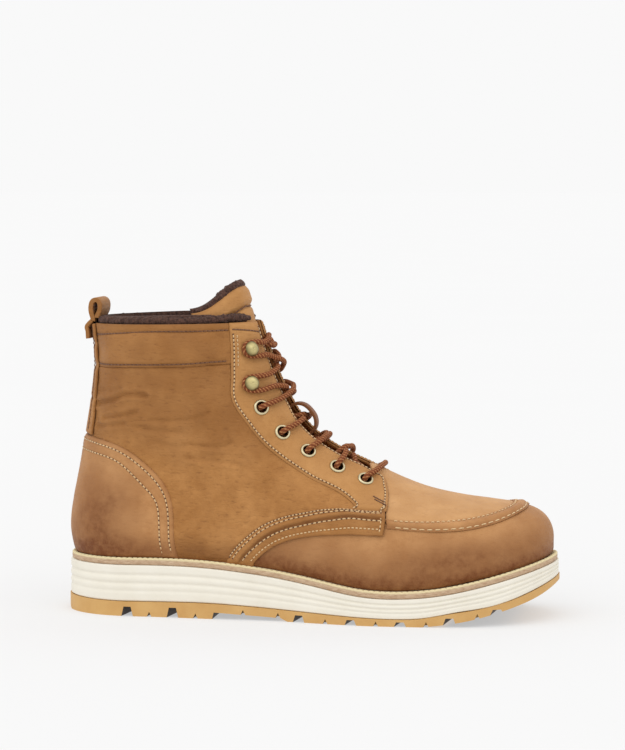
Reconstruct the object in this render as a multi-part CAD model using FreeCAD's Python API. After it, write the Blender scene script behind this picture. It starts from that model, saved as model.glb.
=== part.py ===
import FreeCAD, Part
import os
from math import cos, pi, sqrt, tan

# Right lace-up moc-toe field boot, EU 43. Millimetres: +X to the toe, +Y to the wearer's left
# (the medial side of a right boot), +Z up. Origin: centre of the footprint, on the ground.
# Every leather, fleece and stiffener layer is a patch of one boot surface. A place on that
# surface is (u, v): u runs round the boot, 0 at the front centre, -1 and +1 at the back
# centre, negative on the lateral side; v runs from 0 at the featherline to 1 at the topline.
# A layer lies between two offsets from the surface, positive outwards.

V = FreeCAD.Vector

# ---------------------------------------------------------------- driving dimensions
LEATHER = 2.0               # base leather, its outer face is the boot surface
OVERLAY = (0.15, 1.80)      # inner and outer offset of a leather piece sewn on top
BASE = (-LEATHER, 0.0)
STIFFENER = (-3.7, -2.2)    # heel counter board and toe puff, behind the base leather
FLEECE = (-7.5, -4.0)       # lining with its pile
BOTTOM_V = 0.02             # lower edge of the upper, just above the welt
PLATE_HALF_WIDTH = 80.0     # sideways half-width of the blanks for the bottom pieces
TOE_IN = 5.0                # how far the toe's centre line lies to the medial side
Y_CENTRE = -1.87            # centres the footprint on the X axis
WELT_THICKNESS = 5.0
WELT_PROUD = 4.8            # welt beyond the upper's outline
MIDSOLE_PROUD = 5.6
OUTSOLE_PROUD = 6.1
EYELET_HOLE_R = 3.0
EYELET_RIM_R = 5.0
HOOK_POST_R = 1.8
HOOK_HEAD_R = 4.6
LACE_D = 3.4
TIP_R = 1.3                 # of the plastic tip on each end of the lace
TIP_LENGTH = 18.0
LOOP_WIDTH = 24.0
STRAP = 2.4                 # thickness of the pull loop's folded leather

# level v: front x, z; back x, z; half-width at heel, waist, ball; nose length, power; heel length; crown
SECTIONS = [
    (0.00, 148.0, 39.5, -148.0, 36.5, 33.5, 37.5, 50.0, 78, 2.6, 40, 0),
    (0.07, 150.4, 47.0, -151.6, 48.0, 36.0, 40.0, 52.5, 80, 2.7, 42, 0),
    (0.15, 148.8, 57.0, -151.2, 62.0, 36.0, 40.0, 52.0, 82, 2.6, 42, 0),
    (0.24, 139.0, 66.5, -148.7, 76.0, 35.0, 39.0, 49.0, 84, 2.5, 42, 2),
    (0.36, 110.0, 72.3, -145.5, 92.0, 34.0, 38.0, 46.0, 84, 2.3, 44, 8),
    (0.50, 70.0, 80.0, -142.8, 108.0, 34.5, 37.5, 43.0, 80, 2.2, 46, 13),
    (0.62, 36.0, 94.5, -140.2, 122.0, 35.5, 37.0, 40.0, 76, 2.1, 48, 13),
    (0.74, 3.0, 113.3, -137.9, 138.0, 36.0, 37.0, 38.0, 66, 2.0, 50, 10),
    (0.86, -19.5, 144.5, -136.4, 155.0, 36.5, 37.0, 37.0, 58, 2.0, 52, 4),
    (1.00, -33.0, 182.0, -138.0, 180.0, 37.0, 37.0, 37.0, 53, 2.0, 53, 0),
]


# ---------------------------------------------------------------- curves
def spline(points):
    """Natural cubic through (x, y) points, straight beyond its ends."""
    xs = [float(p[0]) for p in points]
    ys = [float(p[1]) for p in points]
    last = len(xs) - 1
    gaps = [xs[i + 1] - xs[i] for i in range(last)]
    slopes = [(ys[i + 1] - ys[i]) / gaps[i] for i in range(last)]
    diagonal = [1.0]
    right = [0.0]
    for i in range(1, last):
        lower = 0.0 if i == 1 else gaps[i - 1] / diagonal[i - 1]
        diagonal.append(2 * (gaps[i - 1] + gaps[i]) - lower * gaps[i - 1])
        right.append(6 * (slopes[i] - slopes[i - 1]) - lower * right[i - 1])
    bend = [0.0] * (last + 1)
    for i in range(last - 1, 0, -1):
        bend[i] = (right[i] - gaps[i] * bend[i + 1]) / diagonal[i]

    def value(x):
        if x <= xs[0]:
            return ys[0] + (slopes[0] - gaps[0] * bend[1] / 6) * (x - xs[0])
        if x >= xs[last]:
            return ys[last] + (slopes[-1] + gaps[-1] * bend[-2] / 6) * (x - xs[last])
        i = 0
        while x > xs[i + 1]:
            i += 1
        a = (xs[i + 1] - x) / gaps[i]
        b = 1 - a
        curl = (a ** 3 - a) * bend[i] + (b ** 3 - b) * bend[i + 1]
        return a * ys[i] + b * ys[i + 1] + curl * gaps[i] ** 2 / 6

    return value


def edge(points):
    """Smooth curve through (x, y) points that never overshoots them, level beyond its ends."""
    xs = [p[0] for p in points]
    ys = [p[1] for p in points]
    last = len(xs) - 1
    slopes = [(ys[i + 1] - ys[i]) / (xs[i + 1] - xs[i]) for i in range(last)]
    tangents = [slopes[0]]
    for i in range(1, last):
        same_way = slopes[i - 1] * slopes[i] > 0
        tangents.append(2 * slopes[i - 1] * slopes[i] / (slopes[i - 1] + slopes[i]) if same_way else 0.0)
    tangents.append(slopes[-1])

    def value(x):
        x = min(xs[last], max(xs[0], x))
        i = 0
        while x > xs[i + 1]:
            i += 1
        h = xs[i + 1] - xs[i]
        q = (x - xs[i]) / h
        start = (1 + 2 * q) * (1 - q) ** 2 * ys[i] + q * (1 - q) ** 2 * h * tangents[i]
        end = q * q * (3 - 2 * q) * ys[i + 1] + q * q * (q - 1) * h * tangents[i + 1]
        return start + end

    return value


def smooth(q):
    q = min(1.0, max(0.0, q))
    return q * q * (3 - 2 * q)


def mix(a, b, q):
    return a + (b - a) * q


# ---------------------------------------------------------------- the boot surface
SECTION = [spline([(row[0], row[k]) for row in SECTIONS]) for k in range(1, len(SECTIONS[0]))]
FEATHER = spline([(-155, 36.8), (-120, 36.6), (-62, 36.2), (-30, 33.2), (10, 27.0), (35, 22.6),
                  (58, 21.4), (82, 23.2), (115, 30.0), (150, 39.6)])
MEDIAL = spline([(-150, 1.0), (-110, 1.0), (-30, 0.88), (55, 0.97), (120, 1.03), (150, 1.05)])


def centre_y(x):
    return Y_CENTRE + TOE_IN * smooth((x + 10) / 190)


def rounding(q, power):
    """Half-width factor of a rounded end: 0 at its tip, 1 a nose length away."""
    q = min(1.0, max(0.0, q))
    return sqrt(1 - (1 - q) ** power)


def half_width(x, heel, waist, ball):
    if x < -30:
        return mix(heel, waist, smooth((x + 110) / 80))
    return mix(waist, ball, smooth((x + 30) / 85))


def surface(u, v):
    """The point (x, y, z) of the boot surface at (u, v)."""
    if u > 1:
        u -= 2
    if u < -1:
        u += 2
    front_x, front_z, back_x, back_z, heel, waist, ball, nose, power, tail, crown = [s(v) for s in SECTION]
    ahead = (1 + cos(pi * u)) / 2
    x = mix(back_x, front_x, ahead)
    low = 1 - smooth(v / 0.6)
    lift_back = back_z - low * FEATHER(back_x)
    lift_front = front_z - low * FEATHER(front_x)
    tip = rounding((front_x - x) / nose, power)
    width = half_width(x, heel, waist, ball) * tip * rounding((x - back_x) / tail, 2.0)
    if u > 0:
        width *= mix(MEDIAL(x), 1.0, smooth(v))
    side = 1 if u > 0 else -1
    z = low * FEATHER(x) + mix(lift_back, lift_front, ahead) - crown * tip ** 2 * smooth(ahead * 1.3)
    return V(x, centre_y(x) + side * width, z)


def frame_at(u, v):
    """Point, unit vector round the boot (rising u), unit vector up it, and outward normal."""
    step = 1e-3
    point = surface(u, v)
    around = (surface(u + step, v) - surface(u - step, v)).normalize()
    rise = surface(u, v + step) - surface(u, v - step)
    normal = around.cross(rise).normalize()
    return point, around, normal.cross(around), normal


def raised(u, v, out):
    point, around, up, normal = frame_at(u, v)
    return point + normal * out


# ---------------------------------------------------------------- panel edges on the surface
MOC_LINE = edge([(0, 0.280), (0.10, 0.264), (0.20, 0.252), (0.28, 0.262), (0.36, 0.286)])
VAMP_TOP = edge([(0, 0.280), (0.10, 0.264), (0.20, 0.252), (0.28, 0.262), (0.36, 0.286), (0.41, 0.283),
                 (0.475, 0.230), (0.525, 0.167), (0.568, 0.083), (0.590, 0.030)])
THROAT = edge([(0, 0.612), (0.06, 0.600), (0.09, 0.570), (0.15, 0.527), (0.23, 0.463), (0.30, 0.380),
               (0.335, 0.323), (0.36, 0.290)])
QUARTER_FRONT = edge([(0, 0.597), (0.03, 0.592), (0.083, 0.570), (0.167, 0.527), (0.230, 0.478),
                      (0.270, 0.435), (0.292, 0.390), (0.310, 0.350), (0.38, 0.303), (0.46, 0.234),
                      (0.53, 0.152), (0.57, 0.100), (0.61, 0.095), (0.65, 0.103), (0.71, 0.102),
                      (0.77, 0.098), (0.82, 0.078), (0.90, 0.066), (1.0, 0.062)])
FACING_REAR = edge([(0.40, 0.365), (0.457, 0.312), (0.537, 0.287), (0.60, 0.305), (0.683, 0.312),
                    (0.767, 0.320), (0.82, 0.333), (0.88, 0.300), (0.94, 0.268), (1.0, 0.245)])
COLLAR_LINE = edge([(0.24, 0.906), (0.31, 0.904), (0.36, 0.902), (0.48, 0.892), (0.62, 0.877),
                    (0.84, 0.852), (1.0, 0.846)])
BAND_TOP = edge([(0.285, 0.402), (0.355, 0.400), (0.427, 0.333), (0.477, 0.270), (0.515, 0.223),
                 (0.547, 0.173), (0.578, 0.097), (0.600, 0.020)])
BAND_LOW = edge([(0.378, 0.212), (0.42, 0.203), (0.463, 0.177), (0.502, 0.143), (0.527, 0.110),
                 (0.562, 0.020)])
LINING_FRONT = edge([(0, 0.375), (0.30, 0.375), (0.42, 0.370), (0.55, 0.345), (0.70, 0.345),
                     (0.82, 0.355), (0.92, 0.325), (1.03, 0.300)])
LINING_TOP = 1.02           # the pile stands a little above the leather's topline
COUNTER_EDGE = 0.675        # u of the counter's front edge
COUNTER_TOP = 0.52          # v of its upper edge
BACK_STRIP = 0.88           # u of the back strip's edges
FACING_LOW = 0.412          # v of the facing's lower end
# v of the seam strip's edges, from the moc line, and u of its ends at its lower and upper edge
MOC_STRIP_LOW = edge([(0, -0.016), (0.08, -0.015), (0.135, -0.019), (0.19, -0.026), (0.25, -0.035),
                      (0.36, -0.038)])
MOC_STRIP_TOP = edge([(0, 0.024), (0.12, 0.027), (0.28, 0.031), (0.36, 0.034)])
MOC_STRIP_END = (0.352, 0.334)
BAND_FRONT_BOW = 0.011      # how far the side band's front edge bows back, in u

EYELETS = [(0.177, 0.567), (0.195, 0.623), (0.207, 0.687), (0.223, 0.747), (0.240, 0.807)]
HOOKS = [(0.245, 0.857), (0.195, 0.933)]


# ---------------------------------------------------------------- making solids
def sheet(points):
    surface_through = Part.BSplineSurface()
    surface_through.interpolate(points)
    return surface_through


def rims(sheet_surface):
    u0, u1, v0, v1 = sheet_surface.bounds()
    curves = [sheet_surface.uIso(u0), sheet_surface.uIso(u1), sheet_surface.vIso(v0), sheet_surface.vIso(v1)]
    return [curve.toShape() for curve in curves]


def closed(faces):
    shell = Part.makeShell(faces)
    shell.sewShape()
    solid = Part.Solid(shell)
    if solid.Volume < 0:
        solid.reverse()
    return solid


def between(outer_points, inner_points):
    """A solid between two grids of points."""
    outer = sheet(outer_points)
    inner = sheet(inner_points)
    sides = [Part.makeRuledSurface(a, b) for a, b in zip(rims(outer), rims(inner))]
    return closed([outer.toShape(), inner.toShape()] + sides)


def patch(place, layer, columns, rows):
    """A layer of the boot surface: place(a, b) gives (u, v) for a and b from 0 to 1."""
    low, high = layer

    def grid(offset):
        points = []
        for i in range(columns):
            a = i / (columns - 1)
            line = []
            for j in range(rows):
                b = j / (rows - 1)
                u, v = place(a, b)
                out = offset(u, v) if callable(offset) else offset
                line.append(raised(u, v, out))
            points.append(line)
        return points

    return between(grid(high), grid(low))


def both_sides(name, place, layer, columns, rows):
    """The same piece on the lateral side and, mirrored in u, on the medial side."""
    def mirrored(a, b):
        u, v = place(a, b)
        return -u, v

    return {name + "_medial": patch(place, layer, columns, rows),
            name + "_lateral": patch(mirrored, layer, columns, rows)}


def outline(proud, count=44):
    """Closed curve round the featherline, moved outwards by proud, in the XY plane."""
    points = []
    for i in range(count):
        u = -1 + 2 * i / count
        step = 1e-3
        point = surface(u, 0)
        along = surface(u + step, 0) - surface(u - step, 0)
        across = V(along.y, -along.x, 0).normalize()
        points.append(V(point.x, point.y, 0) + across * proud)
    curve = Part.BSplineCurve()
    curve.interpolate(Points=points, PeriodicFlag=True)
    return curve.toShape()


def column(curve, height=90.0):
    face = Part.Face(Part.Wire([curve]))
    return face.extrude(V(0, 0, height))


def line_of(function, xs, shift):
    curve = Part.BSplineCurve()
    curve.interpolate([V(x, -PLATE_HALF_WIDTH, function(x) + shift) for x in xs])
    return curve.toShape()


def blank(top_edges, bottom_edges):
    """A sideways blank between an upper and a lower profile that share their end x."""
    def end(edges, which):
        points = [vertex.Point for one in edges for vertex in one.Vertexes]
        return which(points, key=lambda point: point.x)

    back = Part.makeLine(end(bottom_edges, min), end(top_edges, min))
    front = Part.makeLine(end(bottom_edges, max), end(top_edges, max))
    wire = Part.Wire(Part.__sortEdges__(top_edges + bottom_edges + [back, front]))
    return Part.Face(wire).extrude(V(0, 2 * PLATE_HALF_WIDTH, 0))


PLATE_XS = [-165, -140, -110, -80, -62, -45, -30, -10, 10, 30, 45, 58, 72, 90, 110, 130, 150, 165]


def plate(proud, top, bottom, top_curve=FEATHER, bottom_curve=FEATHER):
    """A bottom piece: a curved plate cut to the boot's outline."""
    body = blank([line_of(top_curve, PLATE_XS, top)], [line_of(bottom_curve, PLATE_XS, bottom)])
    return body.common(column(outline(proud)))


def turned(u, v, profile):
    """A solid of revolution on the surface normal at (u, v), from (radius, height) points."""
    point, around, up, normal = frame_at(u, v)
    corners = [point + around * r + normal * h for r, h in profile]
    wire = Part.makePolygon(corners + [corners[0]])
    return Part.Face(wire).revolve(point, normal, 360)


def drill(shape, sites, radius, side):
    for t, v in sites:
        point, around, up, normal = frame_at(side * t, v)
        shape = shape.cut(Part.makeCylinder(radius, 12, point - normal * 6, normal))
    return shape


# ---------------------------------------------------------------- leather panels
def upper_panels():
    parts = {}

    def vamp(a, b):
        u = mix(-0.588, 0.588, a)
        return u, mix(BOTTOM_V, VAMP_TOP(abs(u)) - 0.004, b)

    def apron(a, b):
        u = mix(-0.352, 0.352, a)
        return u, mix(MOC_LINE(abs(u)) + 0.004, THROAT(abs(u)) - 0.004, b)

    def moc_strip(a, b):
        end = mix(MOC_STRIP_END[0], MOC_STRIP_END[1], b)
        u = mix(-end, end, a)
        return u, MOC_LINE(abs(u)) + mix(MOC_STRIP_LOW(abs(u)), MOC_STRIP_TOP(abs(u)), b)

    def quarter(a, b):
        row = mix(BOTTOM_V, 0.9, b)
        u = mix(QUARTER_FRONT(row) + 0.004, 0.998, a)
        return u, mix(BOTTOM_V, COLLAR_LINE(u) - 0.002, b)

    def facing(a, b):
        v = mix(FACING_LOW, 0.998, b)
        return mix(QUARTER_FRONT(v) + 0.001, FACING_REAR(v), a), v

    def front_quarter(a, b):
        v = mix(0.908, 0.998, b)
        return mix(QUARTER_FRONT(v) + 0.004, 0.236, a), v

    def band(a, b):
        top = mix(0.290, 0.600, a)
        low = mix(0.379, 0.562, a)
        bow = BAND_FRONT_BOW * 4 * b * (1 - b) * (1 - a) ** 3
        return mix(low, top, b) + bow, mix(BAND_LOW(low), BAND_TOP(top), b)

    parts["vamp"] = patch(vamp, BASE, 49, 9)
    parts["apron"] = patch(apron, BASE, 31, 13)
    parts["moc_seam_strip"] = patch(moc_strip, OVERLAY, 31, 5)
    parts.update(both_sides("quarter", quarter, BASE, 21, 29))
    parts.update(both_sides("facing", facing, OVERLAY, 9, 31))
    parts.update(both_sides("facing_backer", front_quarter, BASE, 7, 5))
    parts.update(both_sides("side_band", band, OVERLAY, 15, 7))
    for side, name in ((1, "medial"), (-1, "lateral")):
        for piece in ("facing_", "quarter_", "facing_backer_"):
            shape = drill(parts[piece + name], EYELETS, EYELET_HOLE_R + 0.6, side)
            parts[piece + name] = drill(shape, HOOKS, HOOK_POST_R + 0.1, side)
    return parts


def heel_pieces():
    def counter(a, b):
        s = mix(-1, 1, a)
        reach = 0.997 * (1 - (1 - abs(s)) ** 2.2)
        height = COUNTER_TOP * (1 - reach ** 10) ** 0.45
        q = reach if s > 0 else -reach
        return 1 - (1 - COUNTER_EDGE) * q, mix(BOTTOM_V, height, b)

    def strip(a, b):
        return mix(BACK_STRIP, 2 - BACK_STRIP, a), mix(COUNTER_TOP + 0.008, 0.997, b)

    def board(a, b):
        q = mix(-1, 1, a)
        return 1 - 0.29 * q, mix(0.04, 0.42 - 0.12 * q ** 4, b)

    return {"heel_counter": patch(counter, OVERLAY, 41, 13),
            "back_strip": patch(strip, OVERLAY, 9, 15),
            "heel_stiffener": patch(board, STIFFENER, 25, 9)}


def collar_bulge(u, v):
    """How far the padded collar stands out over its foam."""
    t = abs(u)
    line = COLLAR_LINE(t)
    across = min(1.0, max(0.0, (v - line) / (0.975 - line)))
    ends = smooth((0.875 - t) / 0.12) * smooth((t - 0.30) / 0.08)
    return 2.2 * ends * (4 * across * (1 - across)) ** 0.5 if across < 1 else 0.0


def collar_pieces():
    def cover(a, b):
        u = mix(0.243, 0.998, a)
        return u, mix(COLLAR_LINE(u) + 0.002, 0.998, b)

    def foam(a, b):
        u = mix(0.38, 0.97, a)
        return u, mix(COLLAR_LINE(u) + 0.012, 0.965, b)

    cover_layer = (lambda u, v: collar_bulge(u, v) - LEATHER, collar_bulge)
    foam_layer = (-3.8, lambda u, v: collar_bulge(u, v) - LEATHER - 0.25)
    parts = both_sides("collar", cover, cover_layer, 25, 9)
    parts.update(both_sides("collar_foam", foam, foam_layer, 19, 6))
    return parts


def lining_pieces():
    def shaft(a, b):
        v = mix(BOTTOM_V, LINING_TOP, b)
        front = LINING_FRONT(v)
        return mix(front, 2 - front, a), v

    def forefoot(a, b):
        u = mix(-0.362, 0.362, a)
        return u, mix(BOTTOM_V, THROAT(abs(u)) - 0.012, b)

    def puff(a, b):
        u = mix(-0.20, 0.20, a)
        return u, mix(0.04, MOC_LINE(abs(u)) - 0.02, b)

    return {"shaft_lining": patch(shaft, FLEECE, 41, 25),
            "vamp_lining": patch(forefoot, FLEECE, 31, 15),
            "toe_puff": patch(puff, STIFFENER, 21, 7)}


# ---------------------------------------------------------------- tongue
def tongue_depth(u, v):
    """Offset of the tongue's outer face: room for the lace, and inside the lining at its edges."""
    swell = 3.8 * smooth((v - 0.955) / 0.05) * (1 - smooth((abs(u) - 0.10) / 0.10))
    return -6.8 - 1.9 * smooth((abs(u) - 0.19) / 0.09) + swell


def tongue_pieces():
    half_span = edge([(0, 0.15), (0.25, 0.20), (0.45, 0.27), (0.75, 0.33), (1.0, 0.39)])

    def top(u):
        return 1.085 - 0.062 * smooth((abs(u) - 0.06) / 0.34)

    def leather(a, b):
        u = mix(-1, 1, a) * half_span(b)
        return u, mix(THROAT(abs(u)) + 0.022, top(u), b)

    def pile(a, b):
        u = mix(-1, 1, a) * half_span(b)
        return u, mix(THROAT(abs(u)) + 0.022, top(u) + 0.012, b)

    leather_layer = (lambda u, v: tongue_depth(u, v) - 1.8, tongue_depth)
    pile_layer = (lambda u, v: tongue_depth(u, v) - 5.4, lambda u, v: tongue_depth(u, v) - 3.0)
    return {"tongue": patch(leather, leather_layer, 21, 21),
            "tongue_lining": patch(pile, pile_layer, 21, 21)}


# ---------------------------------------------------------------- hardware
def eyelet(side, t, v):
    r = EYELET_HOLE_R
    rim = EYELET_RIM_R
    profile = [(r + 0.2, -3.0), (rim - 0.2, -3.0), (rim - 0.2, -2.65), (r + 0.4, -2.65), (r + 0.4, 1.95),
               (rim - 0.3, 1.95), (rim, 2.15), (rim - 0.4, 2.55), (r + 0.5, 2.7), (r, 2.3), (r, -2.6)]
    return turned(side * t, v, profile)


def hook(side, t, v):
    post = HOOK_POST_R
    head = HOOK_HEAD_R
    profile = [(0, -3.1), (3.2, -3.1), (3.2, -2.7), (post - 0.05, -2.7), (post - 0.05, 1.9), (3.4, 1.9),
               (3.2, 2.2), (post, 2.3), (post, 6.0), (head - 0.5, 6.1), (head, 6.6), (head - 0.7, 7.2),
               (2.0, 7.7), (0, 7.8)]
    return turned(side * t, v, profile)


def hardware():
    parts = {}
    for side, name in ((1, "medial"), (-1, "lateral")):
        parts["eyelets_" + name] = Part.makeCompound([eyelet(side, t, v) for t, v in EYELETS])
        parts["lace_hooks_" + name] = Part.makeCompound([hook(side, t, v) for t, v in HOOKS])
    return parts


# ---------------------------------------------------------------- lace
OVER = 4.7                  # lace centre above the boot surface, on the facing
AT_HOOK = 3.9               # behind a hook's head
AT_EYELET = 5.0             # where it turns into an eyelet
UNDER = -4.7                # below the surface, between facing and tongue
# v where each strand crosses over the tongue, and its height there, lowest crossing first
CROSSINGS = [((0.632, -0.9), (0.632, -4.9)), ((0.671, 2.7), (0.671, -1.8)), ((0.720, 2.9), (0.720, -1.8)),
             ((0.777, 2.0), (0.777, -2.5)), ((0.836, 5.3), (0.836, 1.0)), ((0.897, 6.3), (0.897, 2.0)),
             ((0.960, 3.0), (0.938, 3.0))]
EDGE_ROOM = 0.010           # in u, from a facing's front edge to a strand's bend beside it
MIDDLE_U = 0.028            # a strand's two points over the tongue
# an end's bends between facing and tongue, (u, v)
TAIL = [(0.053, 0.944), (0.105, 0.935), (0.146, 0.915), (0.136, 0.882), (0.140, 0.850), (0.176, 0.836),
        (0.198, 0.858), (0.184, 0.888)]
HOLE_BACK = 0.8             # the lace bears on the back of each eyelet


def spot(side, t, v, back=0.0, up=0.0, out=0.0):
    """A point near the surface, moved back from the front edge, up the boot and outwards."""
    point, around, rise, normal = frame_at(side * t, v)
    return point + around * (side * back) + rise * up + normal * out


def lace_half(side, strand):
    """Points of one half of the lace, from the bottom bar up; strand 0 lies over strand 1."""
    route = [spot(side, 0.075, 0.585, out=4.3), spot(side, 0.125, 0.577, out=4.2)]
    stations = EYELETS + HOOKS
    for i in range(len(stations)):
        t, v = stations[i]
        cross_v, height = CROSSINGS[i][strand]
        if i < len(EYELETS):
            first, second = (AT_EYELET, UNDER) if i == 0 else (UNDER, AT_EYELET)
            route.append(spot(side, t, v, back=HOLE_BACK, out=first))
            route.append(spot(side, t, v, back=HOLE_BACK, out=second))
        else:
            route.append(spot(side, t, v, back=-7.5, up=-4.6, out=OVER))
            route.append(spot(side, t, v, back=3.9, up=-3.9, out=AT_HOOK))
            route.append(spot(side, t, v, back=3.9, up=3.9, out=AT_HOOK))
            route.append(spot(side, t, v, back=-7.5, up=4.6, out=OVER))
        leave = UNDER if i == 0 else OVER
        arrive = UNDER if i < len(EYELETS) - 1 or i == len(stations) - 1 else OVER
        edge_v = mix(v, cross_v, 0.72)
        edge_u = QUARTER_FRONT(edge_v) - EDGE_ROOM
        route.append(spot(side, mix(t, edge_u, 0.55), mix(v, cross_v, 0.40), out=leave))
        route.append(spot(side, edge_u, edge_v, out=leave))
        route.append(spot(side, MIDDLE_U, cross_v - 0.004, out=height))
        route.append(spot(-side, MIDDLE_U, cross_v + 0.004, out=height))
        side = -side
        if i < len(stations) - 1:
            next_t, next_v = stations[i + 1]
            edge_v = mix(cross_v, next_v, 0.28)
            edge_u = QUARTER_FRONT(edge_v) - EDGE_ROOM
            route.append(spot(side, edge_u, edge_v, out=arrive))
            route.append(spot(side, mix(edge_u, next_t, 0.45), mix(cross_v, next_v, 0.60), out=arrive))
    for t, v in TAIL:
        route.append(spot(side, t, v, out=UNDER))
    return route


def lace_route():
    lateral = lace_half(-1, 0)
    medial = lace_half(1, 1)
    lateral.reverse()
    return lateral + medial


def rounded_path(points):
    """Straight runs joined by tangent arcs, with each arc's radius."""
    edges = []
    radii = []
    start = points[0]
    for before, corner, after in zip(points, points[1:], points[2:]):
        back = (before - corner)
        ahead = (after - corner)
        half_turn = (pi - back.getAngle(ahead)) / 2
        reach = 0.45 * min(back.Length, ahead.Length)
        radii.append(reach / tan(half_turn))
        enter = corner + back.normalize() * reach
        leave = corner + ahead.normalize() * reach
        centre_way = (back + ahead).normalize()
        centre = corner + centre_way * (radii[-1] / cos(half_turn))
        edges.append(Part.LineSegment(start, enter).toShape())
        edges.append(Part.Arc(enter, centre - centre_way * radii[-1], leave).toShape())
        start = leave
    edges.append(Part.LineSegment(start, points[-1]).toShape())
    return Part.Wire(edges), radii


def tube(points, diameter):
    path, radii = rounded_path(points)
    section = Part.Wire([Part.makeCircle(diameter / 2, points[0], points[1] - points[0])])
    solid = path.makePipeShell([section], True, False)
    return solid, path, radii


def lace_parts():
    points = lace_route()
    solid, path, radii = tube(points, LACE_D)
    ideal = pi * LACE_D ** 2 / 4 * path.Length
    print("lace length %.0f mm, volume %.0f of %.0f mm3" % (path.Length, solid.Volume, ideal))
    print("lace radii", " ".join("%.1f" % radius for radius in radii))
    tips = []
    for end, before in ((points[0], points[1]), (points[-1], points[-2])):
        way = (end - before).normalize()
        tips.append(Part.makeCylinder(TIP_R, TIP_LENGTH, end, way))
    return {"lace": solid, "lace_tips": Part.makeCompound(tips)}


# ---------------------------------------------------------------- keeper and pull loop
def ribbon(centre_points, thickness, width):
    """A strap of constant thickness along a curve in the XZ plane, centred on y."""
    curve = Part.BSplineCurve()
    curve.interpolate([V(x, Y_CENTRE - width / 2, z) for x, z in centre_points])
    first, last = curve.FirstParameter, curve.LastParameter
    count = 4 * len(centre_points)
    sides = ([], [])
    for i in range(count + 1):
        where = mix(first, last, i / count)
        point = curve.value(where)
        along = curve.tangent(where)[0]
        across = V(along.z, 0, -along.x) * (thickness / 2)
        sides[0].append(point + across)
        sides[1].append(point - across)
    edges = []
    for side in sides:
        face_curve = Part.BSplineCurve()
        face_curve.interpolate(side)
        edges.append(face_curve.toShape())
    edges.append(Part.makeLine(sides[0][0], sides[1][0]))
    edges.append(Part.makeLine(sides[0][-1], sides[1][-1]))
    return Part.Face(Part.Wire(Part.__sortEdges__(edges))).extrude(V(0, width, 0))


def lace_keeper():
    legs_v = (0.806, 0.746)
    centre = []
    for v, out in ((legs_v[0], -5.0), (legs_v[0], 0.5), (0.795, 5.0), (0.778, 6.3), (0.760, 5.4),
                   (legs_v[1], 1.0), (legs_v[1], -5.0)):
        point = raised(0, v, out)
        centre.append((point.x, point.z))
    return ribbon(centre, 1.8, 9.0)


LOOP_FOOT = (-138.8, 181.0)  # x and z of the pull loop's foot, above the back strip


def pull_loop():
    x, z = LOOP_FOOT
    bends = ((1.8, 1.2), (-0.3, 4.6), (-0.9, 8.6), (1.3, 12.6), (6.0, 13.5), (9.7, 10.8), (9.3, 7.0),
             (5.8, 5.4), (2.7, 3.2))
    loop = ribbon([(x + dx, z + dz) for dx, dz in bends], STRAP, LOOP_WIDTH)
    foot = Part.makeBox(4.0, LOOP_WIDTH, 3.0, V(x - 0.4, Y_CENTRE - LOOP_WIDTH / 2, z))
    return loop.fuse(foot).removeSplitter()


# ---------------------------------------------------------------- bottom
MIDSOLE_BOTTOM = spline([(-165, 10.1), (-118, 9.1), (-89, 9.3), (-57, 9.4), (-17, 7.3), (12, 5.8),
                         (34, 4.8), (55, 4.3), (77, 5.3), (97, 9.1), (117, 12.2), (136, 18.4),
                         (155, 26.8), (165, 32.0)])
TOE_SPRING = spline([(75, 0.0), (90, 1.7), (105, 4.3), (120, 8.2), (135, 13.0), (147, 18.3),
                     (156, 24.4), (165, 31.0)])
HEEL_BREAST = -55.4
TREAD_START = -8.0
TOE_SPRING_START = 75.0
ARCH_HEIGHT = (4.1, 1.9)
GROOVES = (-113.5, -84.5, -4, 29.5, 60, 89.5, 116.5)
GROOVE_WIDTH = (4.6, 7.4)   # at its root and at the tread
GROOVE_SHARE = 0.65          # a groove's depth, as a share of the outsole's thickness
CHEVRON = 9.0               # how far forward a groove's middle lies
SMALL_NOTCHES = (-95.5, -66, -36, -14, 16, 47.5, 78, 108.5)


def ground(x):
    """Height of the tread at x."""
    if x >= TOE_SPRING_START:
        return TOE_SPRING(x)
    if HEEL_BREAST < x < TREAD_START:
        return mix(ARCH_HEIGHT[0], ARCH_HEIGHT[1], (x - HEEL_BREAST) / (TREAD_START - HEEL_BREAST))
    return 0.0


def tread_profile():
    y = -PLATE_HALF_WIDTH
    corners = [(-165, 6.0), (-154.6, 3.4), (-151.0, 0.0), (HEEL_BREAST, 0.0), (HEEL_BREAST + 1, 4.1),
               (TREAD_START - 4, 1.9), (TREAD_START, 0.0), (TOE_SPRING_START, 0.0)]
    edges = []
    for (x0, z0), (x1, z1) in zip(corners, corners[1:]):
        edges.append(Part.makeLine(V(x0, y, z0), V(x1, y, z1)))
    spring = Part.BSplineCurve()
    spring.interpolate([V(x, y, TOE_SPRING(x)) for x in (75, 90, 105, 120, 135, 147, 156, 165)])
    return edges + [spring.toShape()]


def groove(x):
    """A chevron groove across the tread, wider at the tread than at its root."""
    root, mouth = GROOVE_WIDTH
    base = ground(x)
    depth = GROOVE_SHARE * (MIDSOLE_BOTTOM(x) - base)
    sections = []
    for y, forward in ((-75, 0.0), (0, CHEVRON), (75, 0.0)):
        shape = [(-mouth / 2, -6.0), (mouth / 2, -6.0), (mouth / 2, 0.0),
                 (root / 2, depth), (-root / 2, depth), (-mouth / 2, 0.0)]
        points = [V(x + forward + dx, y, base + dz) for dx, dz in shape]
        sections.append(Part.makePolygon(points + [points[0]]))
    return Part.makeLoft(sections, True, True)


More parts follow.
